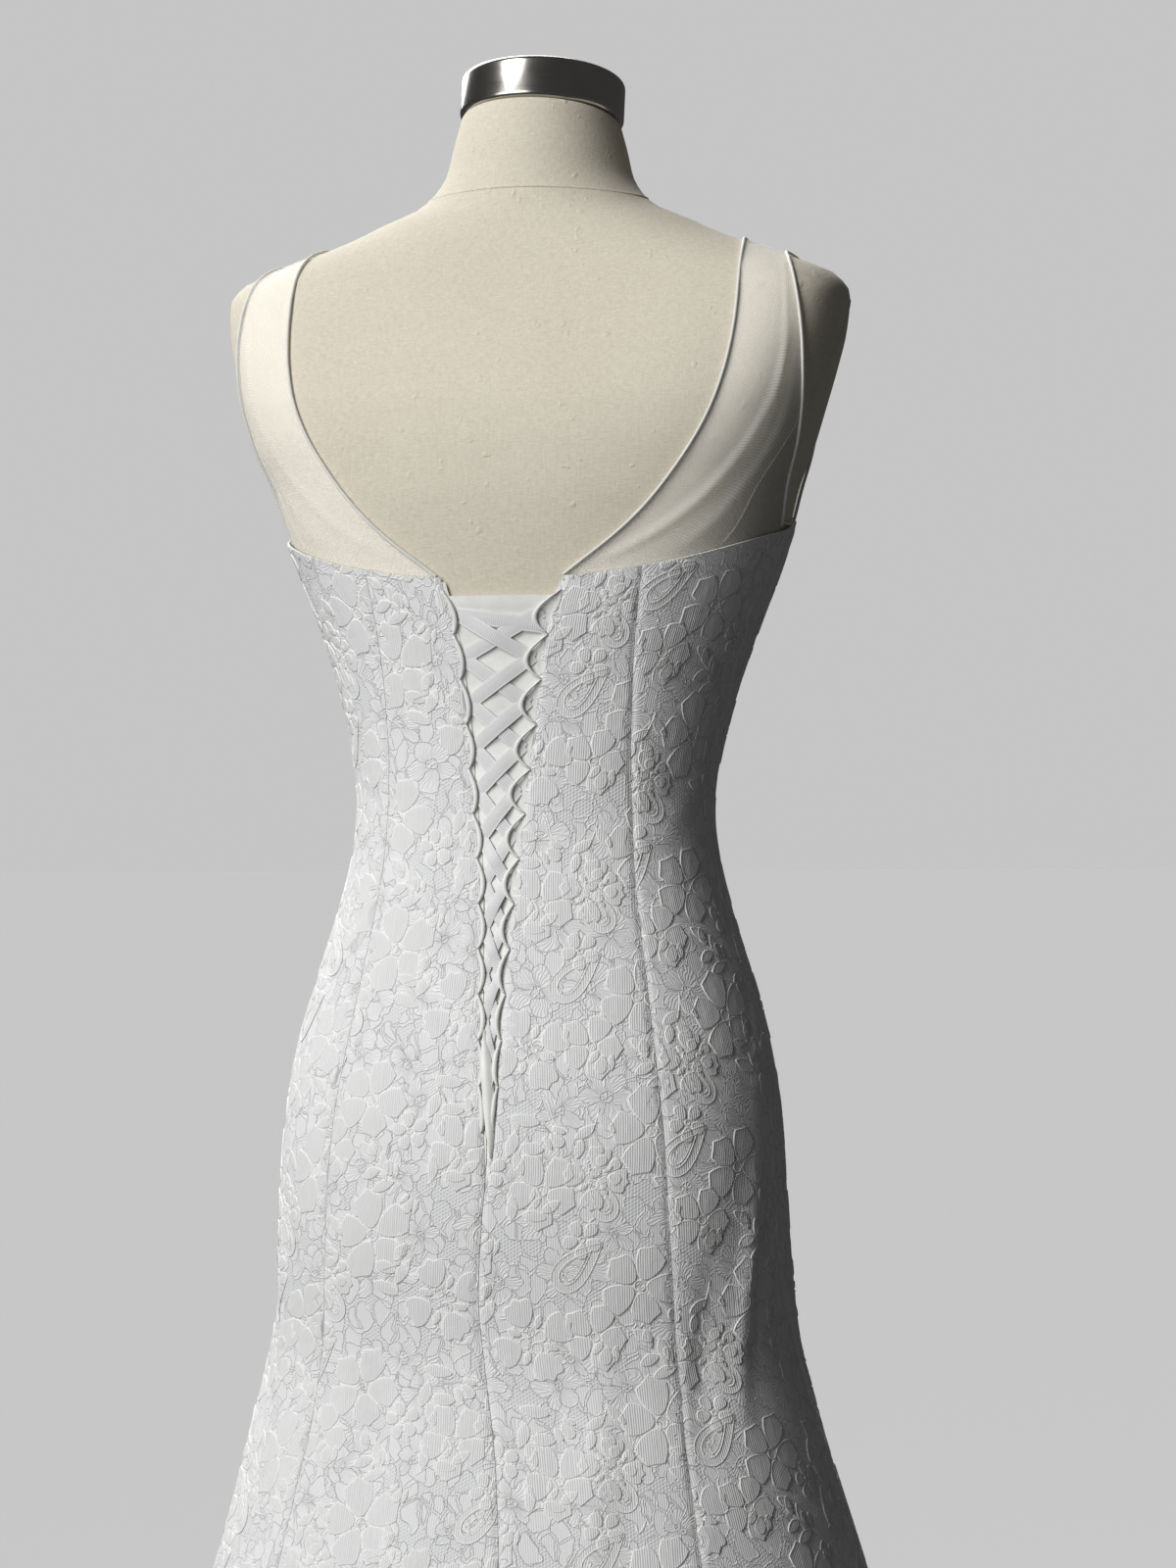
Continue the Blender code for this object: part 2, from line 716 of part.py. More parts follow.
def yoke_points(front):
    """Grid of one half of the yoke before it is laid on the form."""
    neck, arm, lower = yoke_edges(front)
    neck = even_line(neck, YOKE_ROWS + 1)
    arm = even_line(arm, YOKE_ROWS + 1)
    grid = []
    for row in range(YOKE_ROWS + 1):
        fade = (1 - row / YOKE_ROWS) ** 2
        line = []
        for column in range(YOKE_COLUMNS + 1):
            share = column / YOKE_COLUMNS
            straight = neck[row].lerp(arm[row], share)
            chord = lower[0].lerp(lower[-1], share)
            line.append(straight + (lower[column] - chord) * fade)
        grid.append(line)
    return grid


def lay_on(surface, point, out):
    """Point over the nearest place of the form."""
    place, normal, _, _ = surface.find_nearest(point)
    return place + normal * out


def off_form(surface, point):
    """How far a point stands off the form."""
    place, normal, _, _ = surface.find_nearest(point)
    return (point - place).dot(normal)


def mirror(points):
    """The same points on the wearer's right."""
    return [Vector((-p.x, p.y, p.z)) for p in points]


def lift_clear(surface, points, links, gap):
    """Lift points until the straight links between them clear the form by the gap."""
    for _ in range(LIFT_PASSES):
        for first, second in links:
            for share in (0.3, 0.5, 0.7):
                spot = points[first].lerp(points[second], share)
                place, normal, _, _ = surface.find_nearest(spot)
                short = gap - (spot - place).dot(normal)
                if short > 0:
                    points[first] += normal * short * 0.6
                    points[second] += normal * short * 0.6


def lay_grid(surface, grid, out, gap):
    """Grid laid over the form, with its faces clear of it."""
    columns = len(grid[0])
    points = [lay_on(surface, point, out) for row in grid for point in row]
    links = []
    for i in range(len(grid)):
        for j in range(columns):
            here = i * columns + j
            if j < columns - 1:
                links.append((here, here + 1))
            if i < len(grid) - 1:
                links.append((here, here + columns))
            if i < len(grid) - 1 and j < columns - 1:
                links.append((here, here + columns + 1))
                links.append((here + 1, here + columns))
    lift_clear(surface, points, links, gap)
    return [points[n:n + columns] for n in range(0, len(points), columns)]


def edge_trim(surface, grids, column, inward, out):
    """Line just outside an edge of the yoke, up the back and down the front."""
    gap = BINDING_RADIUS + 2 * SEAM_GAP
    line = []
    for grid, rows in zip(grids, (range(YOKE_ROWS + 1), range(YOKE_ROWS, -1, -1))):
        for n in rows:
            edge = [row[column] for row in grid]
            along = edge[min(n + 1, YOKE_ROWS)] - edge[max(n - 1, 0)]
            along.normalize()
            away = grid[n][column] - grid[n][inward]
            away -= along * away.dot(along)
            line.append(lay_on(surface, edge[n] + away.normalized() * gap, out))
    return line


def make_yoke(surface):
    """Sheer yoke of four pieces with a narrow binding round the neckline and the armholes."""
    grids = [yoke_points(front) for front in (False, True)]
    lift = BINDING_RADIUS + MESH_EASE
    neck = edge_trim(surface, grids, 0, 1, lift)
    arm = edge_trim(surface, grids, -1, -2, lift)
    side = math.radians(sum(ARMHOLE_FOOT) / 2)
    under = top_edge(side) + BINDING_RADIUS + 2 * SEAM_GAP
    arm.append(lay_on(surface, body_point(side, under), lift))
    arm[0].z = max(arm[0].z, under)
    arm[-2].z = max(arm[-2].z, under)
    half = YOKE_ROWS + 1
    neck[0] = neck[0].lerp(neck[1], 0.30)
    neck[-1] = neck[-1].lerp(neck[-2], 0.30)
    neck[half - 1:half + 1] = [(neck[half - 1] + neck[half]) / 2]
    arm[half - 1:half + 1] = [(arm[half - 1] + arm[half]) / 2]
    for line, around in ((neck, False), (arm, True)):
        links = [(n, (n + 1) % len(line)) for n in range(len(line) - (not around))]
        lift_clear(surface, line, links, BINDING_RADIUS + MESH_EASE / 2)
    for letter, flip in (("L", False), ("R", True)):
        for place, grid in zip(("back", "front"), grids):
            rows = [mirror(row) if flip else row for row in grid]
            inside = lay_grid(surface, rows, MESH_EASE, MESH_EASE * 0.7)
            outside = [[lay_on(surface, p, MESH_CLOTH + off_form(surface, p)) for p in row]
                       for row in inside]
            make_wall(f"yoke_{place}_{letter}", outside, inside, "sheer mesh")
        neck_line = mirror(neck) if flip else neck
        arm_line = mirror(arm) if flip else arm
        make_tube(f"neck_binding_{letter}", neck_line, BINDING_RADIUS, "satin")
        make_tube(f"armhole_binding_{letter}", arm_line, BINDING_RADIUS, "satin", closed=True)


def main():
    for old in list(bpy.data.objects):
        bpy.data.objects.remove(old)
    surface = make_form()
    make_stand()
    make_dress()
    make_panel()
    make_loops()
    make_lacing()
    make_yoke(surface)


main()
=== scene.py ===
# %% [markdown]
# # A lace wedding dress on its dress form
#
# The real thing is a trumpet-shaped wedding dress, seen from behind. Corded lace lies over satin, a
# sheer yoke carries the bodice, and the back is laced up with satin ribbon through rouleau loops. It
# is worn by a limbless linen form with a metal cap, on a stand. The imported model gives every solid
# in metres. This lesson dresses those solids piece by piece.

# %% Load the frame
import math
from functools import partial

import bpy
import numpy as np
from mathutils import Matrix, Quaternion, Vector
from mathutils.bvhtree import BVHTree


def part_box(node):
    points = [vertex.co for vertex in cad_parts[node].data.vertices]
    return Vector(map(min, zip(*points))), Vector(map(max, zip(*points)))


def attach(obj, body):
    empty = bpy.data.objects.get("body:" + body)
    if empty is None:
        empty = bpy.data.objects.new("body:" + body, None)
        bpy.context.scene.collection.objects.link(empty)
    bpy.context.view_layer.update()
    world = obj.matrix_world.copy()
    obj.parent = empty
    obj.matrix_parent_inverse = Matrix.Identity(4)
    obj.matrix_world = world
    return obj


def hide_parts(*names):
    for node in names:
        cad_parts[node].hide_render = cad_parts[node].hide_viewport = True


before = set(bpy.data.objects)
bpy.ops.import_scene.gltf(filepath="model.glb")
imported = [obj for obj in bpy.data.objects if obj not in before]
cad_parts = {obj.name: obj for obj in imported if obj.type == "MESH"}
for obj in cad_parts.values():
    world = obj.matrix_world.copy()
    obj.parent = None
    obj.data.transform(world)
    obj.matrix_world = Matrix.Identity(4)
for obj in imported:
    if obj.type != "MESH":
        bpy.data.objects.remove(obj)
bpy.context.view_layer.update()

# %% [markdown]
# ## Camera
#
# The photo was taken from behind, level and far away, with the camera turned a little to the
# wearer's left side. A long lens from 3.5 m gives the same view. The picture is 1600 pixels high,
# so the lens follows from how many metres one pixel covers at the dress's axis.

# %% Camera
PHOTO_SIZE = (1200, 1600)  # pixels
AXIS_COLUMN = 544.5  # pixel column of the dress's axis
METRES_PER_PIXEL = 0.000645  # at the axis
CAMERA_AWAY = 3.5
CAMERA_HEIGHT = 1.06
CAMERA_TURN = math.radians(14)
CAMERA_ROLL = math.radians(-0.4)
SENSOR = 36.0  # millimetres, along the picture's long side

sight = Vector((math.sin(CAMERA_TURN), -math.cos(CAMERA_TURN), 0.0))
rightwards = Vector((-math.cos(CAMERA_TURN), -math.sin(CAMERA_TURN), 0.0))
aside = (PHOTO_SIZE[0] / 2 - AXIS_COLUMN) * METRES_PER_PIXEL
eye = rightwards * aside - sight * CAMERA_AWAY + Vector((0.0, 0.0, CAMERA_HEIGHT))
turned = sight.to_track_quat("-Z", "Y") @ Quaternion((0.0, 0.0, 1.0), CAMERA_ROLL)
bpy.ops.object.camera_add(location=eye, rotation=turned.to_euler())
camera = bpy.context.object
camera.name = "camera"
camera.data.sensor_width = SENSOR
camera.data.lens = SENSOR * CAMERA_AWAY / METRES_PER_PIXEL / PHOTO_SIZE[1]
camera.data.clip_end = 200.0
bpy.context.scene.camera = camera
print("lens:", round(camera.data.lens, 1), "mm")

# %% [markdown]
# ## Light
#
# White lace only reads when light rakes across it. The key light is a broad sun from the left, so
# that every cord throws a soft shadow to the right. A window-like area light beside it softens those
# shadows and gives the steel cap its bright stripe. A second broad sun lights the front, which the
# photo doesn't show. All three are placed by an angle from the camera's line of sight, so that each
# can be moved round the dress by one value.

# %% Lights
KEY_STRENGTH = 1.95
KEY_HEIGHT = math.radians(40)  # over the horizon
KEY_TURN = math.radians(51)  # to the left of the camera's own side of the dress
KEY_SOFTNESS = math.radians(26)
WINDOW_POWER = 16.5  # watts
WINDOW_SIZE = (3.0, 2.4)  # metres
WINDOW_AWAY = 3.8
WINDOW_TURN = math.radians(42)
WINDOW_HEIGHT = 1.9
WINDOW_SPREAD = math.radians(75)
FILL_STRENGTH = 2.4
FILL_HEIGHT = math.radians(33)
FILL_TURN = math.radians(22)  # from straight behind the dress, to the wearer's left
FILL_SOFTNESS = math.radians(50)


def add_sun(name, side, height, strength, softness):
    """Broad sun that comes from a level direction, raised over the horizon by an angle."""
    towards = Vector((side.x, side.y, math.tan(height)))
    bpy.ops.object.light_add(type="SUN", rotation=towards.to_track_quat("Z", "Y").to_euler())
    sun = bpy.context.object
    sun.name = name
    sun.data.energy = strength
    sun.data.angle = softness


upright = Vector((0.0, 0.0, 1.0))
key_side = Quaternion(upright, -KEY_TURN) @ -sight
fill_side = Quaternion(upright, FILL_TURN) @ sight
add_sun("key_light", key_side, KEY_HEIGHT, KEY_STRENGTH, KEY_SOFTNESS)
add_sun("front_light", fill_side, FILL_HEIGHT, FILL_STRENGTH, FILL_SOFTNESS)

towards_window = Quaternion(upright, -WINDOW_TURN) @ -sight
window_place = towards_window * WINDOW_AWAY + Vector((0.0, 0.0, WINDOW_HEIGHT))
bpy.ops.object.light_add(type="AREA", location=window_place,
                         rotation=towards_window.to_track_quat("Z", "Y").to_euler())
window = bpy.context.object
window.name = "window_light"
window.data.shape = "RECTANGLE"
window.data.size, window.data.size_y = WINDOW_SIZE
window.data.energy = WINDOW_POWER
window.data.spread = WINDOW_SPREAD
window.visible_camera = False

# %% [markdown]
# ## Sky and floor
#
# The pale floor and the pale sky have the same brightness, which hides the horizon. The sky that
# lights the cloth is much dimmer than the one the camera sees, so the right side of the dress falls
# into shade. A Light Path node tells the two apart. The floor's grey is worked out from the light
# that falls on it.

# %% Sky and floor
SKY_SEEN = 0.56
SKY_LIGHT = 0.055
SKY_SHARE = 0.8  # of the sky's light, what reaches the floor round the dress
FLOOR_REACH = 120.0

sky = bpy.data.worlds.new("sky")
sky.use_nodes = True
bpy.context.scene.world = sky
bpy.context.scene.view_settings.view_transform = "Standard"
sky_tree = sky.node_tree
background = sky_tree.nodes["Background"]
rays = sky_tree.nodes.new("ShaderNodeLightPath")
mix = sky_tree.nodes.new("ShaderNodeMix")
mix.data_type = "FLOAT"
mix.inputs["A"].default_value = SKY_LIGHT
mix.inputs["B"].default_value = SKY_SEEN
background.inputs["Color"].default_value = (1.0, 1.0, 1.0, 1.0)
sky_tree.links.new(rays.outputs["Is Camera Ray"], mix.inputs["Factor"])
sky_tree.links.new(mix.outputs["Result"], background.inputs["Strength"])

bpy.ops.mesh.primitive_plane_add(size=FLOOR_REACH)
floor = bpy.context.object
floor.name = "studio_floor"
suns = KEY_STRENGTH * math.sin(KEY_HEIGHT) + FILL_STRENGTH * math.sin(FILL_HEIGHT)
floor_light = suns / math.pi + SKY_LIGHT * SKY_SHARE
floor_grey = SKY_SEEN / floor_light
print("floor grey:", round(floor_grey, 3))

# %% [markdown]
# ## A small helper for materials
#
# Every finish here is worked out by nodes. `Wire` wraps one output socket, so that plain Python
# arithmetic adds the Math nodes: `weave * 0.5 + 0.2` makes a multiply and an add node.

# %% Wire
class Wire:
    """An output socket that can be added, subtracted, multiplied and so on."""

    def __init__(self, finish, socket):
        self.finish = finish
        self.socket = socket

    def maths(self, operation, first, second=0.0):
        return self.finish.node("Math", {"operation": operation}, {0: first, 1: second})

    def __add__(self, other):
        return self.maths("ADD", self, other)

    def __radd__(self, other):
        return self.maths("ADD", other, self)

    def __sub__(self, other):
        return self.maths("SUBTRACT", self, other)

    def __rsub__(self, other):
        return self.maths("SUBTRACT", other, self)

    def __mul__(self, other):
        return self.maths("MULTIPLY", self, other)

    def wave(self):
        """Sine of the value, from 0 to 1."""
        return self.maths("SINE", self) * 0.5 + 0.5

    def away_from(self, other):
        """How far the value is from another, above or below."""
        return self.maths("ABSOLUTE", self - other)

    def at_least(self, other):
        return self.maths("MAXIMUM", self, other)


# %% [markdown]
# `Finish` holds one material. What is the same all over a surface is set straight on its shader.
# What varies is fed in by wires. One method makes any node, and short ones stand for the common ones.

# %% Finish
class Finish:
    """One material, with its Principled shader's fixed values set directly."""

    def __init__(self, name, colour, roughness, metallic=0.0, **fixed):
        self.made = bpy.data.materials.new(name)
        self.made.use_nodes = True
        self.tree = self.made.node_tree
        self.shader = self.tree.nodes["Principled BSDF"]
        self.shader.inputs["Base Color"].default_value = (*colour, 1.0)
        self.shader.inputs["Roughness"].default_value = roughness
        self.shader.inputs["Metallic"].default_value = metallic
        for socket, value in fixed.items():
            self.shader.inputs[socket.replace("_", " ")].default_value = value

    def node(self, kind, settings, inputs, output=0):
        """Add a node, set it, feed its inputs and return one of its outputs."""
        node = self.tree.nodes.new("ShaderNode" + kind)
        for setting, value in settings.items():
            setattr(node, setting, value)
        for socket, value in inputs.items():
            self.feed(node.inputs[socket], value)
        return Wire(self, node.outputs[output])

    def feed(self, socket, value):
        if isinstance(value, Wire):
            self.tree.links.new(value.socket, socket)
        else:
            socket.default_value = value

    def place(self, uv_map=None):
        """Where the shaded point is: on the piece's own flat pattern, or in the object's metres."""
        if uv_map:
            return self.node("UVMap", {"uv_map": uv_map}, {})
        return self.node("TexCoord", {}, {}, "Object")

    def parts(self, vector):
        """The three numbers of a vector."""
        split = self.tree.nodes.new("ShaderNodeSeparateXYZ")
        self.feed(split.inputs[0], vector)
        return [Wire(self, output) for output in split.outputs]

    def same_node(self, wire, output):
        """Another output of the node that a wire comes from."""
        return Wire(self, wire.socket.node.outputs[output])

    def stretched(self, vector, scale):
        """The vector with its axes scaled, which sets how large a pattern is."""
        return self.node("Mapping", {}, {"Vector": vector, "Scale": scale})

    def wandering(self, vector, scale, reach):
        """The vector pushed about by noise, up to a reach in metres."""
        push = self.node("TexNoise", {}, {"Vector": vector, "Scale": scale, "Detail": 1.0}, "Color")
        middle = self.node("VectorMath", {"operation": "SUBTRACT"}, {0: push, 1: (0.5, 0.5, 0.5)})
        inputs = {0: middle, 1: (2 * reach, 2 * reach, 0.0), 2: vector}
        return self.node("VectorMath", {"operation": "MULTIPLY_ADD"}, inputs)

    def noise(self, vector, scale, detail=2.0):
        """Soft noise from 0 to 1."""
        return self.node("TexNoise", {}, {"Vector": vector, "Scale": scale, "Detail": detail}, "Fac")

    def blend(self, share, first, second):
        """Mix of two colours, each a wire or three numbers."""
        colours = [tone if isinstance(tone, Wire) else (*tone, 1.0) for tone in (first, second)]
        return self.node("Mix", {"data_type": "RGBA"}, {0: share, 6: colours[0], 7: colours[1]}, 2)

    def limit(self, value, low, high):
        """The value brought from low..high to 0..1 and clamped."""
        inputs = {"Value": value, "From Min": low, "From Max": high}
        return self.node("MapRange", {"clamp": True}, inputs)

    def colour(self, value):
        self.feed(self.shader.inputs["Base Color"], value)

    def roughness(self, value):
        self.feed(self.shader.inputs["Roughness"], value)

    def relief(self, height, distance, strength=1.0):
        """Bump from a height of 0 to 1 that stands for a distance in metres."""
        inputs = {"Height": height, "Distance": distance, "Strength": strength}
        self.feed(self.shader.inputs["Normal"], self.node("Bump", {}, inputs))


# %% [markdown]
# The floor is the first finish. The dress sees it much darker than the camera does, because light
# that bounces up from a bright floor would wash out the shadows of the lace.

# %% Floor finish
FLOOR_BOUNCE = 0.07  # grey of the floor as the dress sees it

floor_finish = Finish("studio_grey", (floor_grey,) * 3, 0.9, Specular_IOR_Level=0.0)
seen = floor_finish.node("LightPath", {}, {}, "Is Camera Ray")
shades = ((FLOOR_BOUNCE,) * 3, (floor_grey,) * 3)
floor_finish.colour(floor_finish.blend(seen, *shades))
floor.data.materials.append(floor_finish.made)
print("floor finish:", floor_finish.made.name)

# %% [markdown]
# ## The body line
#
# Form and dress share one line: the skin of the form and, below the hips, the line that the skirt
# falls on. It is a stack of squarish rings, nearly the same as in the solids. Few rows with a smooth
# curve through them are easier to read and to correct than many.

# %% Rings of the body line
TURN = 2 * math.pi
HEM = 0.012
OPENING_BOTTOM = 0.806  # where the laced opening ends
FORM_BOTTOM = 0.765
NECK_SEAM = 1.441  # the neck leans forward from here
NECK_TOP = 1.497
NECK_MIDDLE = -0.03325
NECK_TILT = math.radians(12.5)

# height, half width, depth of the back, depth of the front, squareness
RINGS = (
    (0.012, 0.3920, 0.3540, 0.3460, 0.000),
    (0.100, 0.3580, 0.3230, 0.3160, 0.005),
    (0.250, 0.3045, 0.2660, 0.2620, 0.010),
    (0.400, 0.2555, 0.2110, 0.2110, 0.015),
    (0.545, 0.2124, 0.1600, 0.1620, 0.020),
    (0.609, 0.1925, 0.1400, 0.1420, 0.025),
    (0.660, 0.1767, 0.1255, 0.1235, 0.030),
    (0.700, 0.1667, 0.1190, 0.1075, 0.030),
    (0.763, 0.1652, 0.1225, 0.1010, 0.030),
    (0.820, 0.1625, 0.1210, 0.1030, 0.030),
    (0.866, 0.1576, 0.1140, 0.1050, 0.030),
    (0.918, 0.1456, 0.1010, 0.1000, 0.030),
    (0.970, 0.1287, 0.0895, 0.0930, 0.030),
    (1.005, 0.1188, 0.0825, 0.0890, 0.030),
    (1.043, 0.1131, 0.0770, 0.0870, 0.030),
    (1.085, 0.1194, 0.0755, 0.0970, 0.030),
    (1.125, 0.1292, 0.0775, 0.1110, 0.030),
    (1.165, 0.1424, 0.0810, 0.1210, 0.035),
    (1.202, 0.1569, 0.0850, 0.1260, 0.040),
    (1.228, 0.1661, 0.0880, 0.1250, 0.045),
    (1.254, 0.1735, 0.0900, 0.1200, 0.050),
    (1.279, 0.1841, 0.0895, 0.1140, 0.055),
    (1.305, 0.1926, 0.0860, 0.1090, 0.060),
    (1.331, 0.2002, 0.0765, 0.1045, 0.065),
    (1.357, 0.2062, 0.0640, 0.1000, 0.070),
    (1.380, 0.2086, 0.0540, 0.0940, 0.065),
    (1.392, 0.2006, 0.0495, 0.0860, 0.055),
    (1.402, 0.1772, 0.0460, 0.0770, 0.040),
    (1.412, 0.1489, 0.0430, 0.0710, 0.030),
    (1.421, 0.1248, 0.0400, 0.0690, 0.020),
    (1.431, 0.1038, 0.0375, 0.0710, 0.010),
    (1.441, 0.0803, 0.0350, 0.0750, 0.000),
    (1.450, 0.0699, 0.0330, 0.0800, 0.000),
    (1.462, 0.0623, 0.0300, 0.0860, 0.000),
    (1.480, 0.0577, 0.0260, 0.0880, 0.000),
    (1.497, 0.0530, 0.0205, 0.0870, 0.000),
)

# %% [markdown]
# Two things stand out from the rings: the bust and the skirt's flutes. Each is a soft bump that is
# added to the line. A flute is deepest at the hem and fades out where the skirt starts to flare.

# %% Bust and flutes
# half spread, height, reach, half breadth, half length
BUST = (0.078, 1.172, 0.021, 0.054, 0.060)

# angle from the centre back in degrees, half breadth in degrees, depth at the hem
FLUTES = (
    (12, 9, 0.020),
    (40, 10, 0.024),
    (69, 9, 0.018),
    (98, 10, 0.023),
    (127, 9, 0.017),
    (155, 10, 0.022),
    (184, 10, 0.018),
    (212, 9, 0.023),
    (240, 10, 0.017),
    (268, 9, 0.024),
    (297, 10, 0.019),
    (325, 9, 0.023),
)
FLUTE_TOP = 0.700
FLUTE_REST = 0.006  # how far the skirt lies in between two flutes
FLUTE_FADE = 1.6

# %% [markdown]
# The long seams run from hem to bodice at an angle round the body that changes a little with the
# height. The bodice's top edge rises from the lacing to the sides and dips again in front. The laced
# opening is wide at the top and closes above the hips.

# %% Seams and edges
# height, centre-back seam, back princess seam, side seam, front princess seam, in degrees
SEAMS = (
    (0.012, -6.0, 41, 91, 135),
    (0.400, -5.0, 40, 91, 135),
    (0.573, -3.4, 39, 92, 136),
    (0.634, -1.8, 39, 92, 136),
    (0.687, 0.7, 40, 92, 137),
    (0.730, 2.0, 40, 92, 137),
    (0.780, 1.2, 39.5, 92, 137),
    (0.830, 0.0, 39, 92, 137),
    (0.900, 0.0, 38, 92, 137),
    (0.997, 0.0, 40, 92, 137),
    (1.035, 0.0, 41, 92, 137),
    (1.085, 0.0, 38.3, 92, 137),
    (1.190, 0.0, 32, 92, 140),
    (1.250, 0.0, 30, 92, 142),
)

# angle from the centre back in degrees, height of the bodice's top edge
TOP_EDGE = (
    (0, 1.1930),
    (15, 1.1945),
    (33, 1.2010),
    (48, 1.2090),
    (65, 1.2180),
    (90, 1.2270),
    (115, 1.2360),
    (141, 1.2490),
    (160, 1.2400),
    (180, 1.2180),
)

# height, distance of the laced opening's left and right edge from the middle
OPENING = (
    (0.806, 0.0003, 0.0003),
    (0.833, 0.0026, 0.0020),
    (0.867, 0.0058, 0.0040),
    (0.898, 0.0082, 0.0046),
    (0.935, 0.0105, 0.0060),
    (0.997, 0.0136, 0.0092),
    (1.029, 0.0170, 0.0124),
    (1.060, 0.0206, 0.0155),
    (1.098, 0.0230, 0.0208),
    (1.140, 0.0280, 0.0264),
    (1.165, 0.0315, 0.0320),
    (1.194, 0.0395, 0.0440),
)

# %% [markdown]
# A smooth curve through each column of a table gives its value at any height. The curve never
# swings past the listed values, so a table can't grow a bulge of its own. The functions take whole
# arrays, so that a fine mesh costs no more than a coarse one.

# %% Smooth tables
def smooth_table(rows):
    """Return a function that reads all the columns of a table smoothly at an array of values."""
    table = np.array(rows, float)
    keys, values = table[:, 0], table[:, 1:]
    rise = np.diff(values, axis=0) / np.diff(keys)[:, None]
    same_way = rise[:-1] * rise[1:] > 0
    total = np.where(same_way, rise[:-1] + rise[1:], 1.0)
    inner = np.where(same_way, 2 * rise[:-1] * rise[1:] / total, 0.0)
    slopes = np.vstack([rise[:1], inner, rise[-1:]])

    def read(value):
        value = np.clip(np.asarray(value, float), keys[0], keys[-1])
        i = np.clip(np.searchsorted(keys, value, side="right") - 1, 0, len(keys) - 2)
        step = (keys[i + 1] - keys[i])[..., None]
        s = (value - keys[i])[..., None] / step
        out = values[i] * (1 + 2 * s) * (1 - s) ** 2 + slopes[i] * step * s * (1 - s) ** 2
        out = out + values[i + 1] * s * s * (3 - 2 * s) + slopes[i + 1] * step * s * s * (s - 1)
        return np.moveaxis(out, -1, 0)

    return read


rings_as_listed = smooth_table(RINGS)
seams_at = smooth_table(SEAMS)
opening_at = smooth_table(OPENING)
top_edge_at = smooth_table(TOP_EDGE)


# %% [markdown]
# From an angle and a height come a point of the body line, the direction straight out of it and a
# point that stands off it. Below the bust the rings are evened out with those just above and below,
# so that the flare starts softly.

# %% Points on the body line
EASE_REACH = 0.026  # the rings are evened out over this height up and down
EASE_END = 1.20  # up to here, and fully from EASE_FADE below it
EASE_FADE = 0.10


def ring_at(height):
    """Measures of the body line at a height, evened out from the hem to the bust."""
    height = np.asarray(height, float)
    reach = EASE_REACH * np.clip((EASE_END - height) / EASE_FADE, 0, 1)
    reach = np.clip(np.minimum(reach, height - HEM), 0, None)
    nearby = rings_as_listed(height - reach) + rings_as_listed(height + reach)
    return rings_as_listed(height) / 2 + nearby / 4


def degrees_apart(angle, middle):
    """How far an angle in radians is from one in degrees, the short way round."""
    return (np.degrees(angle) - middle + 180) % 360 - 180


def flute_depth(angle, height):
    """How far the skirt's flutes push the cloth out."""
    fall = np.clip((FLUTE_TOP - height) / (FLUTE_TOP - HEM), 0, 1) ** FLUTE_FADE
    push = -FLUTE_REST
    for middle, breadth, depth in FLUTES:
        push = push + depth * np.exp(-((degrees_apart(angle, middle) / breadth) ** 2))
    return push * fall


def body_point(angle, height):
    """Points of the body line; the angle runs from the centre back towards +X."""
    angle, height = np.broadcast_arrays(np.asarray(angle, float), np.asarray(height, float))
    half, back, front, square = ring_at(height)
    x = half * (np.sin(angle) + square * np.sin(3 * angle)) / (1 - square)
    wave = (np.cos(angle) - square * np.cos(3 * angle)) / (1 - square)
    y = (back - front) / 2 + (back + front) / 2 * wave
    spread, level, reach, breadth, length = BUST
    for side in (-1, 1):
        away = ((x - side * spread) / breadth) ** 2 + ((height - level) / length) ** 2
        y = y - reach * np.clip(-wave, 0, None) * np.exp(-away)
    push = flute_depth(angle, height)
    return np.stack([x + push * np.sin(angle), y + push * np.cos(angle), height], axis=-1)


def body_normal(angle, height):
    """Outward normals of the body line."""
    step = 1e-3
    across = body_point(angle + step, height) - body_point(angle - step, height)
    upwards = body_point(angle, np.minimum(height + step, RINGS[-1][0]))
    upwards = upwards - body_point(angle, np.maximum(height - step, RINGS[0][0]))
    normal = np.cross(upwards, across)
    return normal / np.linalg.norm(normal, axis=-1, keepdims=True)


def off_body(angle, height, out):
    """Points that stand off the body line by a distance."""
    out = np.asarray(out, float)[..., None]
    return body_point(angle, height) + body_normal(angle, height) * out


# %% [markdown]
# The edges of the cloth are needed as angles at a height. Where only a distance from the middle is
# known, halving the range again and again finds the angle.

# %% Edges as angles
def angle_of(x, height, front=False):
    """Angle at which the body line has this x, on its back or its front."""
    x, height = np.broadcast_arrays(np.asarray(x, float), np.asarray(height, float))
    low, high = np.zeros_like(x), np.full_like(x, math.pi / 2)
    for _ in range(30):
        middle = (low + high) / 2
        short = body_point(middle, height)[..., 0] < np.abs(x)
        low, high = np.where(short, middle, low), np.where(short, high, middle)
    return np.copysign(math.pi - low if front else low, x)


def top_edge(angle):
    """Height of the bodice's top edge."""
    return top_edge_at(np.abs(degrees_apart(angle, 0)))[0]


def opening_edge(height, side):
    """Angle of the edge of the laced opening, or of the centre-back seam below it."""
    height = np.asarray(height, float)
    open_here = height > OPENING_BOTTOM
    width = np.where(open_here, opening_at(height)[0 if side > 0 else 1], 0.0)
    half, _, _, square = ring_at(height)
    sway = np.radians(seams_at(height)[0])
    return sway + side * width * (1 - square) / (1 + 3 * square) / half


def seam_angle(index, height, side):
    """Angle of a long seam: 1 the back princess seam, 2 the side seam, 3 the front one."""
    return side * np.radians(seams_at(height)[index])


waist = body_point(np.linspace(0, TURN, 181), 1.043)
print("waist:", round(float(np.linalg.norm(np.diff(waist, axis=0), axis=1).sum()), 3), "m")

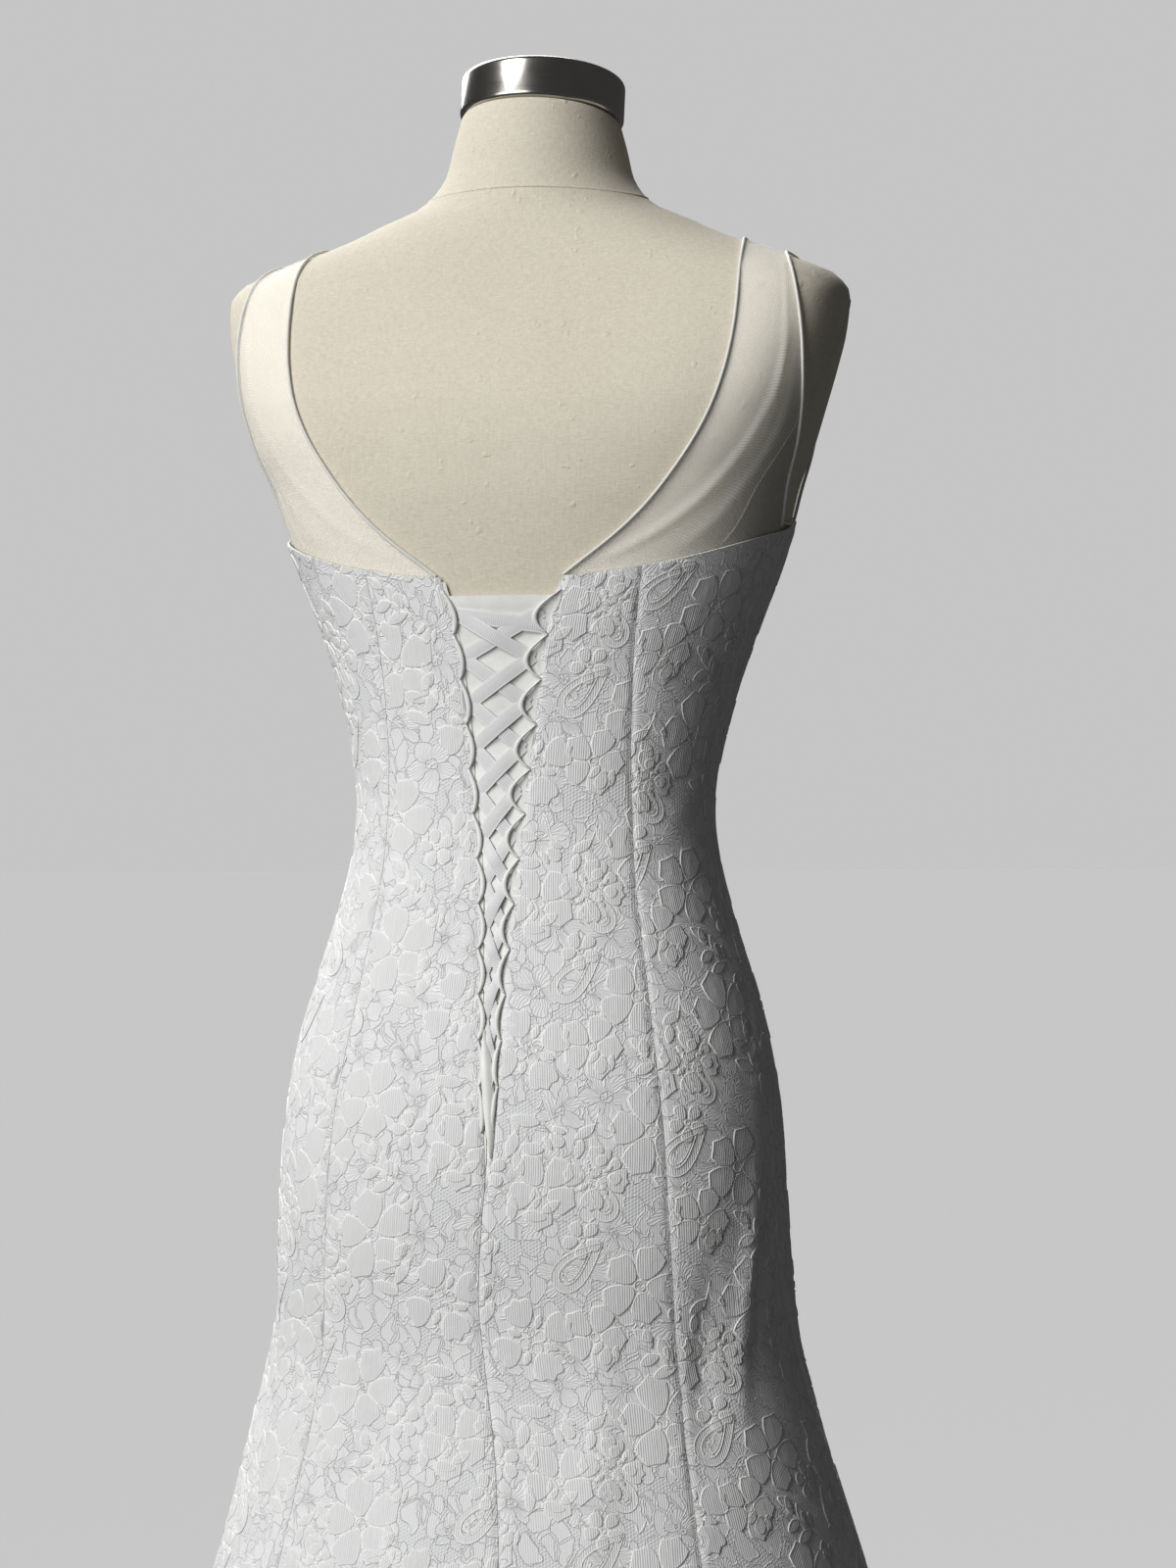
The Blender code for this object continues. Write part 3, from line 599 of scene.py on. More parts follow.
# %% [markdown]
# ## Making meshes
#
# Operators work on what is picked, so each helper first drops every pick. `dress` gives a piece its
# finish, hangs it on the part's root and hides the solids it stands for.

# %% Picking and dressing
def pick(*pieces):
    """Select these pieces and no others; the first becomes the active one."""
    bpy.ops.object.select_all(action="DESELECT")
    for piece in pieces:
        piece.select_set(True)
    if pieces:
        bpy.context.view_layer.objects.active = pieces[0]


def apply_all(piece):
    """Apply every modifier of a piece."""
    pick(piece)
    for modifier in list(piece.modifiers):
        bpy.ops.object.modifier_apply(modifier=modifier.name)
    return piece


def smooth(piece, degrees=45):
    """Smooth shading, with edges sharper than an angle kept."""
    pick(piece)
    bpy.ops.object.shade_smooth_by_angle(angle=math.radians(degrees))
    return piece


def dress(piece, finish, slot, *nodes):
    """Give a piece its finish, let it ride on the part and stand for its solids."""
    piece.data.materials.clear()
    piece.data.materials.append(finish.made)
    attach(piece, "root")
    if nodes:
        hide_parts(*nodes)
    return piece


# %% [markdown]
# A piece of cloth starts as Blender's own grid and is laid on the body line point by point. It
# keeps a UV map called `cut` in metres, the place of each point on the flat cloth, so that weave
# and net follow the cloth. Solidify then gives the wall its thickness.

# %% Cloth
def lay_uv(mesh, cut):
    """UV map in metres from a place for each vertex."""
    for old in list(mesh.uv_layers):
        mesh.uv_layers.remove(old)
    layer = mesh.uv_layers.new(name="cut")
    corners = np.zeros(len(mesh.loops), int)
    mesh.loops.foreach_get("vertex_index", corners)
    layer.data.foreach_set("uv", np.asarray(cut, np.float32)[corners].ravel())


def make_cloth(name, points, cut, thickness):
    """Cloth from a grid of points, listed row by row from the foot, each row from left to right."""
    rows, columns = points.shape[:2]
    pick()
    bpy.ops.mesh.primitive_grid_add(x_subdivisions=columns - 1, y_subdivisions=rows - 1, size=1)
    piece = bpy.context.object
    piece.name = name
    piece.data.name = name
    piece.data.vertices.foreach_set("co", points.reshape(-1).astype(np.float32))
    lay_uv(piece.data, cut.reshape(-1, 2))
    wall = piece.modifiers.new("wall", "SOLIDIFY")
    wall.thickness = thickness
    wall.offset = -1
    wall.use_even_offset = False
    apply_all(piece)
    return smooth(piece)


# %% [markdown]
# Lace motifs and loops are charted once and repeated hundreds of times. Arrays of points and faces
# are the quick way for those. Trims and seams are round, so they are curves turned into meshes.

# %% Meshes from arrays and tubes
def make_mesh(name, points, quads, triangles, cut, flat_below=0):
    """Mesh from arrays. Faces with up to flat_below corners stay flat, the others are smooth."""
    mesh = bpy.data.meshes.new(name)
    faces = len(quads) + len(triangles)
    corners = np.concatenate([quads.ravel(), triangles.ravel()])
    sizes = np.concatenate([np.full(len(quads), 4), np.full(len(triangles), 3)])
    mesh.vertices.add(len(points))
    mesh.vertices.foreach_set("co", points.astype(np.float32).ravel())
    mesh.loops.add(len(corners))
    mesh.loops.foreach_set("vertex_index", corners.astype(np.int32))
    mesh.polygons.add(faces)
    mesh.polygons.foreach_set("loop_start", (np.cumsum(sizes) - sizes).astype(np.int32))
    mesh.update(calc_edges=True)
    mesh.validate()
    lay_uv(mesh, cut)
    mesh.polygons.foreach_set("use_smooth", sizes > flat_below)
    piece = bpy.data.objects.new(name, mesh)
    bpy.context.scene.collection.objects.link(piece)
    return piece


def tube_faces(start, size, rings, flipped=False):
    """Faces of a tube of rings and of its two ends, each a fan round a point listed after them."""
    here = np.arange(size)
    after = (here + 1) % size
    quads = []
    for row in range(rings - 1):
        low, high = start + row * size, start + (row + 1) * size
        quads.append(np.stack([low + after, low + here, high + here, high + after], axis=1))
    last = start + (rings - 1) * size
    hub = np.full(size, last + size)
    triangles = [np.stack([start + here, start + after, hub], axis=1),
                 np.stack([last + after, last + here, hub + 1], axis=1)]
    order = -1 if flipped else 1
    return np.concatenate(quads)[:, ::order], np.concatenate(triangles)[:, ::order]


def make_tube(name, lines, radius, closed=False, rings=3):
    """Round trim along one or more lines of points."""
    curve = bpy.data.curves.new(name, "CURVE")
    curve.dimensions = "3D"
    curve.bevel_depth = 1.0
    curve.bevel_resolution = rings
    curve.use_fill_caps = not closed
    for line, widths in zip(lines, radius):
        spline = curve.splines.new("POLY")
        spline.points.add(len(line) - 1)
        flat = np.hstack([line, np.ones((len(line), 1))])
        spline.points.foreach_set("co", flat.astype(np.float32).ravel())
        spline.points.foreach_set("radius", np.broadcast_to(widths, len(line)).astype(np.float32))
        spline.use_cyclic_u = closed
    piece = bpy.data.objects.new(name, curve)
    bpy.context.scene.collection.objects.link(piece)
    pick(piece)
    bpy.ops.object.convert(target="MESH")
    return smooth(bpy.context.object, 60)

# %% [markdown]
# ## Finishes
#
# Linen is woven with thick and thin yarns: long soft streaks up the cloth, fine threads across and a
# few nubs. Satin is smooth with a broad sheen, and ribbon has fine ribs between two firm edges.

# %% Linen and satin
RIBBON_WIDTH = 0.0092
# Lighter tone of the raised cords, ribs and edges: a painted highlight.
RAISED_HIGHLIGHT_TONE = (0.90, 0.90, 0.885)
SATIN_HOLLOW_SHADE = 0.90  # painted shade in the low places of the satin's soft relief, as a share of its colour
RIB_GROOVE_SHADE = 0.76  # painted shade between a ribbon's ribs, as a share of its colour


def make_linen():
    finish = Finish("form_linen", (0.80, 0.74, 0.60), 0.85, Sheen_Weight=0.1, Sheen_Roughness=0.5)
    place = finish.place()
    streaks = finish.noise(finish.stretched(place, (700, 700, 130)), 1.0, 2.0)
    threads = finish.noise(finish.stretched(place, (280, 280, 900)), 1.0, 2.0)
    nubs = finish.limit(finish.noise(place, 130.0, 1.0), 0.69, 0.78)
    clouds = finish.noise(place, 9.0, 2.0)
    weave = streaks * 0.40 + threads * 0.60
    tone = finish.limit(weave * 0.8 + clouds * 0.2, 0.34, 0.66)
    finish.colour(finish.blend(tone, (0.655, 0.60, 0.485), (0.785, 0.73, 0.605)))
    finish.roughness(0.78 + weave * 0.14)
    finish.relief(weave + nubs * 1.2, 0.00045, 0.6)
    return finish


def make_satin(name, colour, roughness, ribs):
    """Satin. Ribs, so many to a metre, run across ribbon between its firm edges; 0 is plain."""
    finish = Finish(name, colour, roughness, Sheen_Weight=0.2, Sheen_Roughness=0.4)
    cut = finish.place("cut")
    across, along, _ = finish.parts(cut)
    soft = finish.noise(finish.stretched(cut, (90, 90, 90)), 1.0, 2.0)
    finish.roughness(roughness - 0.05 + soft * 0.12)
    if ribs:
        edge = finish.limit(across.away_from(0.0), RIBBON_WIDTH * 0.36, RIBBON_WIDTH * 0.42)
        line = edge - finish.limit(across.away_from(0.0), RIBBON_WIDTH * 0.42, RIBBON_WIDTH * 0.47)
        weave = (along * (ribs * TURN)).wave() * 0.6 + soft * 0.4
        shade = tuple(share * RIB_GROOVE_SHADE for share in colour)
        # Painted highlight and shade: the ribbon is lighter on its ribs and firm edges, darker between
        # the ribs.
        finish.colour(finish.blend(line.at_least(weave * 0.6), shade, RAISED_HIGHLIGHT_TONE))
        finish.relief(weave * (1 - edge) + edge * 0.9, 0.00022, 0.8)
    else:
        # Painted shade: the satin is darker in the low places of its soft relief.
        hollow_shade = tuple(share * SATIN_HOLLOW_SHADE for share in colour)
        finish.colour(finish.blend(finish.limit(soft, 0.3, 0.7), hollow_shade, colour))
        finish.relief(soft, 0.0004, 0.5)
    return finish


# %% [markdown]
# Two weaves return again and again. Net is three families of threads at 60 degrees, which leave
# hexagon holes. Clothwork, which fills the motifs of lace, is upright threads close together.

# %% Weaves
NET_PITCH = 0.0021  # across one hole of the net
YOKE_PITCH = 0.0013  # and of the finer net of the yoke
RIB_PITCH = 0.0015  # between the thread ribs of the clothwork


def net_threads(finish, across, along, pitch):
    """Threads of a net: 1 on a thread, 0 in a hole."""
    turn = TURN / pitch
    first = (across * turn).wave()
    second = ((across * 0.5 + along * 0.866) * turn).wave()
    third = ((across * 0.5 - along * 0.866) * turn).wave()
    return finish.limit(first + second + third, 1.1, 1.9)


def thread_ribs(finish, cut):
    """Close upright threads of the clothwork, a little uneven."""
    across, _, _ = finish.parts(cut)
    wobble = finish.noise(finish.stretched(cut, (500, 40, 1)), 1.0, 2.0)
    return ((across + wobble * 0.0012) * (TURN / RIB_PITCH)).wave() * 0.6 + wobble * 0.4


# %% [markdown]
# The ground of the lace is net over satin. It is a little darker than the clothwork, partly because
# the satin shows through it and partly as painted shade of the low net. Its cords are painted lighter,
# a painted highlight. The large motifs come later as real shapes. The detail between them is too small
# for that, so corded blossoms and small petals are worked into the ground's colour and relief. They
# grow in the cells of a Voronoi pattern, where a point's direction says which petal it is in.

# %% Ground of the lace
# Net tone: partly the satin showing through, partly painted shade of the low ground.
NET_TONE_AND_SHADE = (0.795, 0.80, 0.80)
CLOTH_TONE = (0.84, 0.845, 0.84)
BLOSSOM_PITCH = 0.036  # between the blossoms
BLOSSOM_CORD = 0.0155  # half width of their cords, in shares of the pitch
BLOSSOM_EYE = 0.10  # radius of their eyes
PETAL_PITCH = 0.0135  # between the small petals that fill the rest
PETAL_STRETCH = (1.25, 0.80, 1.0)  # petals are longer than wide
PETAL_RADIUS = 0.54  # of one petal, in shares of the pitch
PETAL_CORD = 0.040
PETAL_ECHO = 0.15  # from a petal's side to the second cord inside some of them


def blossoms(finish, bent):
    """A corded blossom in each cell: how far outside it a point is, its cords and its hatching."""
    cells = {"Vector": bent, "Scale": 1 / BLOSSOM_PITCH, "Randomness": 0.7}
    reach = finish.node("TexVoronoi", {"voronoi_dimensions": "2D"}, cells, "Distance")
    chance, size, spin = finish.parts(finish.same_node(reach, "Color"))
    middle = finish.same_node(reach, "Position")
    offset = finish.node("VectorMath", {"operation": "SUBTRACT"}, {0: bent, 1: middle})
    aside, upwards, _ = finish.parts(offset)
    angle = upwards.maths("ARCTAN2", upwards, aside) + spin * TURN
    half_petals = 2.5 + finish.limit(chance, 0.499, 0.501) * 0.5
    lobe = angle.maths("SINE", angle * half_petals).away_from(0.0)
    outside = reach - (0.58 + lobe * 0.42) * (0.36 + size * 0.16)
    rim = finish.limit(outside.away_from(0.0), BLOSSOM_CORD, 0.0)
    parting = finish.limit(lobe * reach, BLOSSOM_CORD * 2.75, 0.0) * finish.limit(outside, 0.0, -0.01)
    ring = finish.limit(reach.away_from(BLOSSOM_EYE), BLOSSOM_CORD, 0.0)
    hatching = (angle * 36.0).wave()
    return outside, reach, rim.at_least(parting).at_least(ring), hatching


def small_petals(finish, bent):
    """A small petal in each cell of a finer pattern: the petals, their cords and a chance for each."""
    spot = finish.stretched(bent, PETAL_STRETCH)
    cells = {"Vector": spot, "Scale": 1 / PETAL_PITCH, "Randomness": 1.0}
    flat = {"voronoi_dimensions": "2D"}
    spread = finish.node("TexVoronoi", {"feature": "F1", **flat}, cells, "Distance")
    side = finish.node("TexVoronoi", {"feature": "DISTANCE_TO_EDGE", **flat}, cells, "Distance")
    chance, _, _ = finish.parts(finish.same_node(spread, "Color"))
    petals = finish.limit(spread, PETAL_RADIUS + 0.03, PETAL_RADIUS)
    rim = finish.limit(spread.away_from(PETAL_RADIUS), PETAL_CORD, 0.0)
    join = finish.limit(side, PETAL_CORD, 0.0) * petals
    echo = finish.limit(side.away_from(PETAL_ECHO), PETAL_CORD * 0.8, 0.0) * petals
    echo = echo * finish.limit(chance, 0.55, 0.56)
    return petals, rim.at_least(join).at_least(echo), chance


def make_ground():
    """Net over satin, filled with corded blossoms and, between them, small corded petals."""
    finish = Finish("lace_ground", CLOTH_TONE, 0.6, Sheen_Weight=0.1, Sheen_Roughness=0.4)
    cut = finish.place("cut")
    across, along, _ = finish.parts(cut)
    threads = net_threads(finish, across, along, NET_PITCH)
    bent = finish.wandering(finish.wandering(cut, 50.0, 0.0070), 230.0, 0.0016)
    outside, reach, blossom_cord, hatching = blossoms(finish, bent)
    petals, petal_cord, chance = small_petals(finish, bent)
    free = finish.limit(outside, 0.0, 0.02)
    bloom = (1 - free) * finish.limit(reach, BLOSSOM_EYE - 0.01, BLOSSOM_EYE)
    cord = blossom_cord.at_least(petal_cord * free)
    cloth = bloom.at_least(petals * free * finish.limit(chance, 0.16, 0.17))
    ribs = hatching * bloom + thread_ribs(finish, cut) * (1 - bloom)
    weave = cloth * ribs
    # Painted shade and highlight: the net is darker and the cords lighter than the clothwork.
    tone = finish.blend(cloth - weave * 0.35, NET_TONE_AND_SHADE, CLOTH_TONE)
    finish.colour(finish.blend(cord, tone, RAISED_HIGHLIGHT_TONE))
    finish.roughness(0.52 + threads * 0.1 + cloth * 0.08)
    height = cord * 0.95 + cloth * 0.25 + weave * 0.45 + (1 - cloth) * threads * 0.50
    finish.relief(height, 0.00045, 1.0)
    return finish


# %% [markdown]
# The raised motifs are clothwork too. Their meshes carry a value called `cord`, 1 along the cord round
# each edge, which turns the ribs off there and paints the cord lighter, a painted highlight. The
# clothwork is painted lighter on its ribs and darker between them, as painted highlight and shade. The
# sheer net of the yoke is mostly holes, so its threads drive the opacity.

# %% Lacework and sheer net
RIB_PAINTED_SHADE = 0.93  # painted shade between the clothwork's ribs, as a share of its colour


def make_lacework():
    """Clothwork of the motifs, with smooth cord round each edge."""
    finish = Finish("lace_clothwork", CLOTH_TONE, 0.6, Sheen_Weight=0.1, Sheen_Roughness=0.4)
    ribs = thread_ribs(finish, finish.place("cut"))
    cord = finish.node("Attribute", {"attribute_name": "cord"}, {}, "Fac")
    # Painted highlight and shade: lighter on the ribs and cords, darker between the ribs.
    shade = finish.limit(ribs * 0.5 + cord, 0.1, 1.0)
    finish.colour(finish.blend(shade, tuple(tone * RIB_PAINTED_SHADE for tone in CLOTH_TONE), RAISED_HIGHLIGHT_TONE))
    finish.roughness(0.62 - cord * 0.12)
    finish.relief(ribs * (1 - cord), 0.00032, 1.0)
    return finish


def make_mesh_net():
    """Sheer net of the yoke: fine threads with holes between them."""
    finish = Finish("sheer_net", (0.84, 0.82, 0.77), 0.7)
    cut = finish.place("cut")
    across, along, _ = finish.parts(cut)
    threads = net_threads(finish, across, along, YOKE_PITCH)
    clouds = finish.noise(cut, 45.0, 2.0)
    finish.feed(finish.shader.inputs["Alpha"], 0.16 + threads * 0.24 + clouds * 0.08)
    finish.colour(finish.blend(threads, (0.74, 0.735, 0.705), (0.83, 0.83, 0.81)))
    return finish


# %% [markdown]
# The neck cap is dark polished steel and the stand is painted black. Then all the finishes are made.

# %% Steel, paint and the set of finishes
def make_metal():
    """Dark polished steel with fine marks round it."""
    finish = Finish("dark_polished_steel", (0.50, 0.48, 0.45), 0.16, 1.0)
    marks = finish.noise(finish.stretched(finish.place(), (40, 40, 2500)), 1.0, 2.0)
    smudge = finish.noise(finish.place(), 60.0, 3.0)
    finish.roughness(0.12 + marks * 0.10 + smudge * 0.06)
    finish.colour(finish.blend(smudge, (0.46, 0.44, 0.41), (0.58, 0.56, 0.52)))
    return finish


def make_black_paint():
    finish = Finish("black_paint", (0.025, 0.025, 0.026), 0.4, 0.3)
    speckle = finish.noise(finish.place(), 900.0, 2.0)
    finish.roughness(0.34 + speckle * 0.16)
    finish.relief(speckle, 0.00015, 0.4)
    return finish


linen = make_linen()
ribbon_satin = make_satin("ribbon_satin", (0.88, 0.89, 0.89), 0.38, 700)
plain_satin = make_satin("plain_satin", (0.90, 0.90, 0.87), 0.36, 0)
# Facing satin: partly an ivory tone, partly painted shade of the gap along the opening's edges.
ivory_shaded_satin = make_satin("ivory_shaded_satin", (0.86, 0.855, 0.825), 0.40, 0)
ground = make_ground()
lacework = make_lacework()
sheer_net = make_mesh_net()
metal = make_metal()
black_paint = make_black_paint()
print("finishes:", len(bpy.data.materials))

# %% [markdown]
# ## The form
#
# The form is a padded torso under linen. Its mesh follows the body line closely, closes under the
# hips and over the neck, and leans forward above the neck seam. The last rings at both ends are
# drawn in, which rounds the edges.

# %% Form
FORM_COLUMNS = 120
FORM_ROWS = 140
FORM_FOOT = 0.012  # height of the rounding at the form's foot
FOOT_RINGS = ((0.0, 0.90), (0.001, 0.945), (0.003, 0.97), (0.007, 0.993))  # rise, share of the width
TOP_RINGS = ((0.0012, 0.985), (0.0015, 0.95))


def lean_neck(points):
    """Lean the neck forward, as the cap is tilted."""
    lean = np.clip((points[..., 2] - NECK_SEAM) / (NECK_TOP - NECK_SEAM), 0, 1) ** 2
    points = points.copy()
    points[..., 2] += (points[..., 1] - NECK_MIDDLE) * math.tan(NECK_TILT) * lean
    return points


def make_form():
    angles = np.linspace(0, TURN, FORM_COLUMNS, endpoint=False)
    heights = np.linspace(FORM_BOTTOM + FORM_FOOT, NECK_TOP, FORM_ROWS)
    middle = body_point(angles[None, :], heights[:, None])
    foot = []
    for rise, share in FOOT_RINGS:
        ring = middle[0] * share
        ring[:, 2] = FORM_BOTTOM + rise
        foot.append(ring)
    top = []
    for rise, share in TOP_RINGS:
        ring = middle[-1].copy()
        ring[:, 0] *= share
        ring[:, 1] = NECK_MIDDLE + (ring[:, 1] - NECK_MIDDLE) * share
        ring[:, 2] += rise
        top.append(ring)
    rings = lean_neck(np.concatenate([np.array(foot), middle, np.array(top)]))
    ends = rings[[0, -1]].mean(axis=1)
    points = np.concatenate([rings.reshape(-1, 3), ends])
    quads, triangles = tube_faces(0, FORM_COLUMNS, len(rings))
    piece = make_mesh("linen_form", points, quads, triangles, points[:, [0, 2]])
    dress(piece, linen, "form_linen", "form_torso")
    return piece


linen_form = make_form()
form_surface = BVHTree.FromObject(linen_form, bpy.context.evaluated_depsgraph_get())
print("form:", len(linen_form.data.vertices), "points")

# %% [markdown]
# Linen panels meet in slightly raised seams: one round the foot of the neck and one from each arm
# plate down the back. Each is a thin tube that is sunk into the form by almost half its radius.

# %% Seams of the form
SEAM_CORD = 0.0010  # radius of the raised seams
PLATE_SINK = 0.4  # how deep a seam lies in the form, in shares of its radius
NAPE_SINK = 0.35

# height and angle in degrees of the seam from the arm plate down the back
PLATE_SEAM = (
    (1.215, 55), (1.224, 58), (1.245, 62), (1.262, 65.5), (1.280, 69.5), (1.300, 74),
    (1.320, 79), (1.340, 84.4), (1.349, 87), (1.358, 90.5), (1.368, 95), (1.376, 101),
)
NAPE_BACK = 1.4500
NAPE_SIDE = 1.4460


def make_form_seams():
    lines = []
    plate = np.array(PLATE_SEAM)
    heights = np.linspace(plate[0, 0], plate[-1, 0], 60)
    angles = np.radians(np.interp(heights, plate[:, 0], plate[:, 1]))
    for side in (-1, 1):
        lines.append(off_body(side * angles, heights, SEAM_CORD * -PLATE_SINK))
    nape = np.linspace(0, TURN, 97)
    level = NAPE_SIDE + (NAPE_BACK - NAPE_SIDE) * np.cos(nape) ** 2
    lines.append(lean_neck(off_body(nape, level, SEAM_CORD * -NAPE_SINK)))
    piece = make_tube("form_seams", lines, [SEAM_CORD] * 3, rings=2)
    lay_uv(piece.data, np.zeros((len(piece.data.vertices), 2)))
    return dress(piece, linen, "form_linen")


form_seams = make_form_seams()
print("seams of the form:", len(form_seams.data.vertices), "points")

# %% [markdown]
# ## The stand
#
# The metal cap on the neck is a turned ring with a rounded top edge. Below the skirt are a steel
# pole, the collar that grips it and a round cast base. Each is a cylinder whose level edges, the two
# rims, are picked and bevelled. The solids give the places of the three lower ones.

# %% Stand
CAP_RADIUS = 0.0545
CAP_HEIGHT = 0.029
CAP_LIFT = 0.0021  # from the neck's top to the cap's underside
CAP_EDGE = 0.004  # how far its rims are rounded

# name, solid, how far its rims are rounded
STAND = (
    ("stand_pole", "form_pole", 0.0006),
    ("stand_collar", "form_collar", 0.004),
    ("stand_base", "form_base", 0.007),
)


def turned_piece(name, radius, depth, place, rim, steps, tilt=0.0):
    """Cylinder with rounded rims."""
    pick()
    bpy.ops.mesh.primitive_cylinder_add(vertices=128, radius=radius, depth=depth, location=place)
    piece = bpy.context.object
    piece.name = name
    piece.data.name = name
    bpy.ops.object.mode_set(mode="EDIT")
    bpy.ops.mesh.select_mode(type="EDGE")
    bpy.ops.mesh.select_all(action="DESELECT")
    bpy.ops.object.mode_set(mode="OBJECT")
    for line in piece.data.edges:
        ends = [piece.data.vertices[v].co.z for v in line.vertices]
        line.select = abs(ends[0] - ends[1]) < 1e-5
    bpy.ops.object.mode_set(mode="EDIT")
    bpy.ops.mesh.bevel(offset=rim, segments=steps, affect="EDGES")
    bpy.ops.object.mode_set(mode="OBJECT")
    piece.rotation_euler = (tilt, 0.0, 0.0)
    bpy.ops.object.transform_apply(location=True, rotation=True, scale=True)
    return smooth(piece, 40)


rise = CAP_LIFT + CAP_HEIGHT / 2
cap_middle = (0.0, NECK_MIDDLE - rise * math.sin(NECK_TILT), NECK_TOP + rise * math.cos(NECK_TILT))
cap = turned_piece("neck_cap", CAP_RADIUS, CAP_HEIGHT, cap_middle, CAP_EDGE, 6, NECK_TILT)
dress(cap, metal, "polished_metal", "form_neck_cap")
print("neck_cap", 2 * CAP_RADIUS, "m across")
for name, node, rim in STAND:
    low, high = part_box(node)
    radius = (high.x - low.x) / 2
    piece = turned_piece(name, radius, high.z - low.z, (low + high) / 2, rim, 5)
    dress(piece, black_paint, "painted_metal", node)
    print(name, round(2 * radius, 3), "m across")

# %% [markdown]
# ## The gores
#
# Seven long gores make the dress: one in front, two at each side and two at the back. Each is one
# sheet of cloth from hem to top edge. A few long soft creases start where the skirt flares out, and
# short ones lie in the waist. Each crease is a narrow bump or dent, given in a table.

# %% Creases
# angle in degrees, height, half length, half breadth, depth, lean of the crease in degrees
CREASES = (
    (-63, 0.735, 0.075, 0.010, 0.0040, -16),
    (-47, 0.690, 0.060, 0.012, -0.0030, -12),
    (58, 0.700, 0.070, 0.011, 0.0035, 14),
    (75, 0.660, 0.065, 0.012, 0.0040, 18),
    (22, 0.640, 0.060, 0.013, -0.0025, 8),
    (-20, 0.620, 0.070, 0.014, 0.0025, -6),
    (112, 0.700, 0.075, 0.012, 0.0040, -12),
    (-108, 0.690, 0.070, 0.011, 0.0035, 14),
    (150, 0.670, 0.065, 0.013, 0.0035, 8),
    (-152, 0.680, 0.070, 0.012, 0.0035, -8),
    (178, 0.630, 0.060, 0.014, 0.0025, 4),
    (62, 1.030, 0.022, 0.007, 0.0012, 70),
    (48, 1.052, 0.026, 0.006, -0.0010, 78),
    (-60, 1.038, 0.024, 0.007, 0.0012, -72),
    (-72, 1.060, 0.020, 0.006, 0.0010, -64),
    (110, 1.035, 0.025, 0.007, 0.0012, -74),
    (-118, 1.045, 0.024, 0.006, 0.0012, 70),
    (78, 0.905, 0.040, 0.010, 0.0014, 30),
    (-80, 0.890, 0.045, 0.010, 0.0014, -32),
)


def crease_depth(angle, height):
    """How far the creases lift the cloth."""
    push = 0.0
    for middle, level, length, breadth, depth, lean in CREASES:
        across = np.radians(degrees_apart(angle, middle)) * ring_at(height)[0]
        upwards = height - level
        cos, sin = math.cos(math.radians(lean)), math.sin(math.radians(lean))
        along = (upwards * cos + across * sin) / length
        aside = (across * cos - upwards * sin) / breadth
        push = push + depth * np.exp(-(along**2) - aside**2)
    return push


# %% [markdown]
# The lace needs a place on the flat cloth for every point. A gore's flat pattern is measured on the
# body line: at each height the way across it, from its middle, and the way up along that middle.

# %% Flat patterns
CLOTH_OUT = 0.0036  # from the form's skin to the outside of the dress
PATTERN_ROWS = 260
PATTERN_COLUMNS = 61


def make_pattern(name, left, right):
    """The flat pattern of a gore between two edges, given as angles at a height."""
    heights = np.linspace(HEM, TOP_EDGE[7][1] + 0.001, PATTERN_ROWS)
    shares = np.linspace(0, 1, PATTERN_COLUMNS)
    angles = left(heights)[:, None] * (1 - shares) + right(heights)[:, None] * shares
    points = off_body(angles, heights[:, None], CLOTH_OUT)
    steps = np.linalg.norm(np.diff(points, axis=1), axis=2)
    across = np.hstack([np.zeros((PATTERN_ROWS, 1)), np.cumsum(steps, axis=1)])
    across -= across[:, PATTERN_COLUMNS // 2, None]
    rises = np.linalg.norm(np.diff(points[:, PATTERN_COLUMNS // 2], axis=0), axis=1)
    along = np.concatenate([[0.0], np.cumsum(rises)])
    return {"name": name, "left": left, "right": right, "heights": heights, "shares": shares,
            "across": across, "along": along}


def rows_at(pattern, height):
    """The pattern's distances across, one row for each height."""
    place = np.interp(height, pattern["heights"], np.arange(PATTERN_ROWS))
    low = np.clip(place.astype(int), 0, PATTERN_ROWS - 2)
    share = (place - low)[:, None]
    return pattern["across"][low] * (1 - share) + pattern["across"][low + 1] * share


# %% [markdown]
# The gore itself is a grid between its two edges, cut off at the top edge. The cloth dips a little
# towards each seam, as sewn cloth does, so columns are added close to the seams.

# %% Gores
CLOTH_WALL = 0.0011
SEAM_HALF = 0.00015  # half of the gap between two gores
SEAM_DIP = 0.0009  # how far the cloth is drawn in at a seam
SEAM_REACH = 0.0024
EDGE_SHARES = (0.004, 0.010, 0.018, 0.030, 0.048)
GORE_ROWS = 124
ROW_SPREAD = 0.92  # below 1, rows lie closer together towards the top


def edge_dip(distance):
    """How far the cloth lies in at a distance from a seam."""
    return SEAM_DIP * np.exp(-((distance / SEAM_REACH) ** 2))


def gore_angle(pattern, share, height):
    """Angle at a share of a gore's width, with half a seam gap left free at each edge."""
    left, right = pattern["left"](height), pattern["right"](height)
    gap = SEAM_HALF / ring_at(height)[0]
    return (left - gap) * (1 - share) + (right + gap) * share


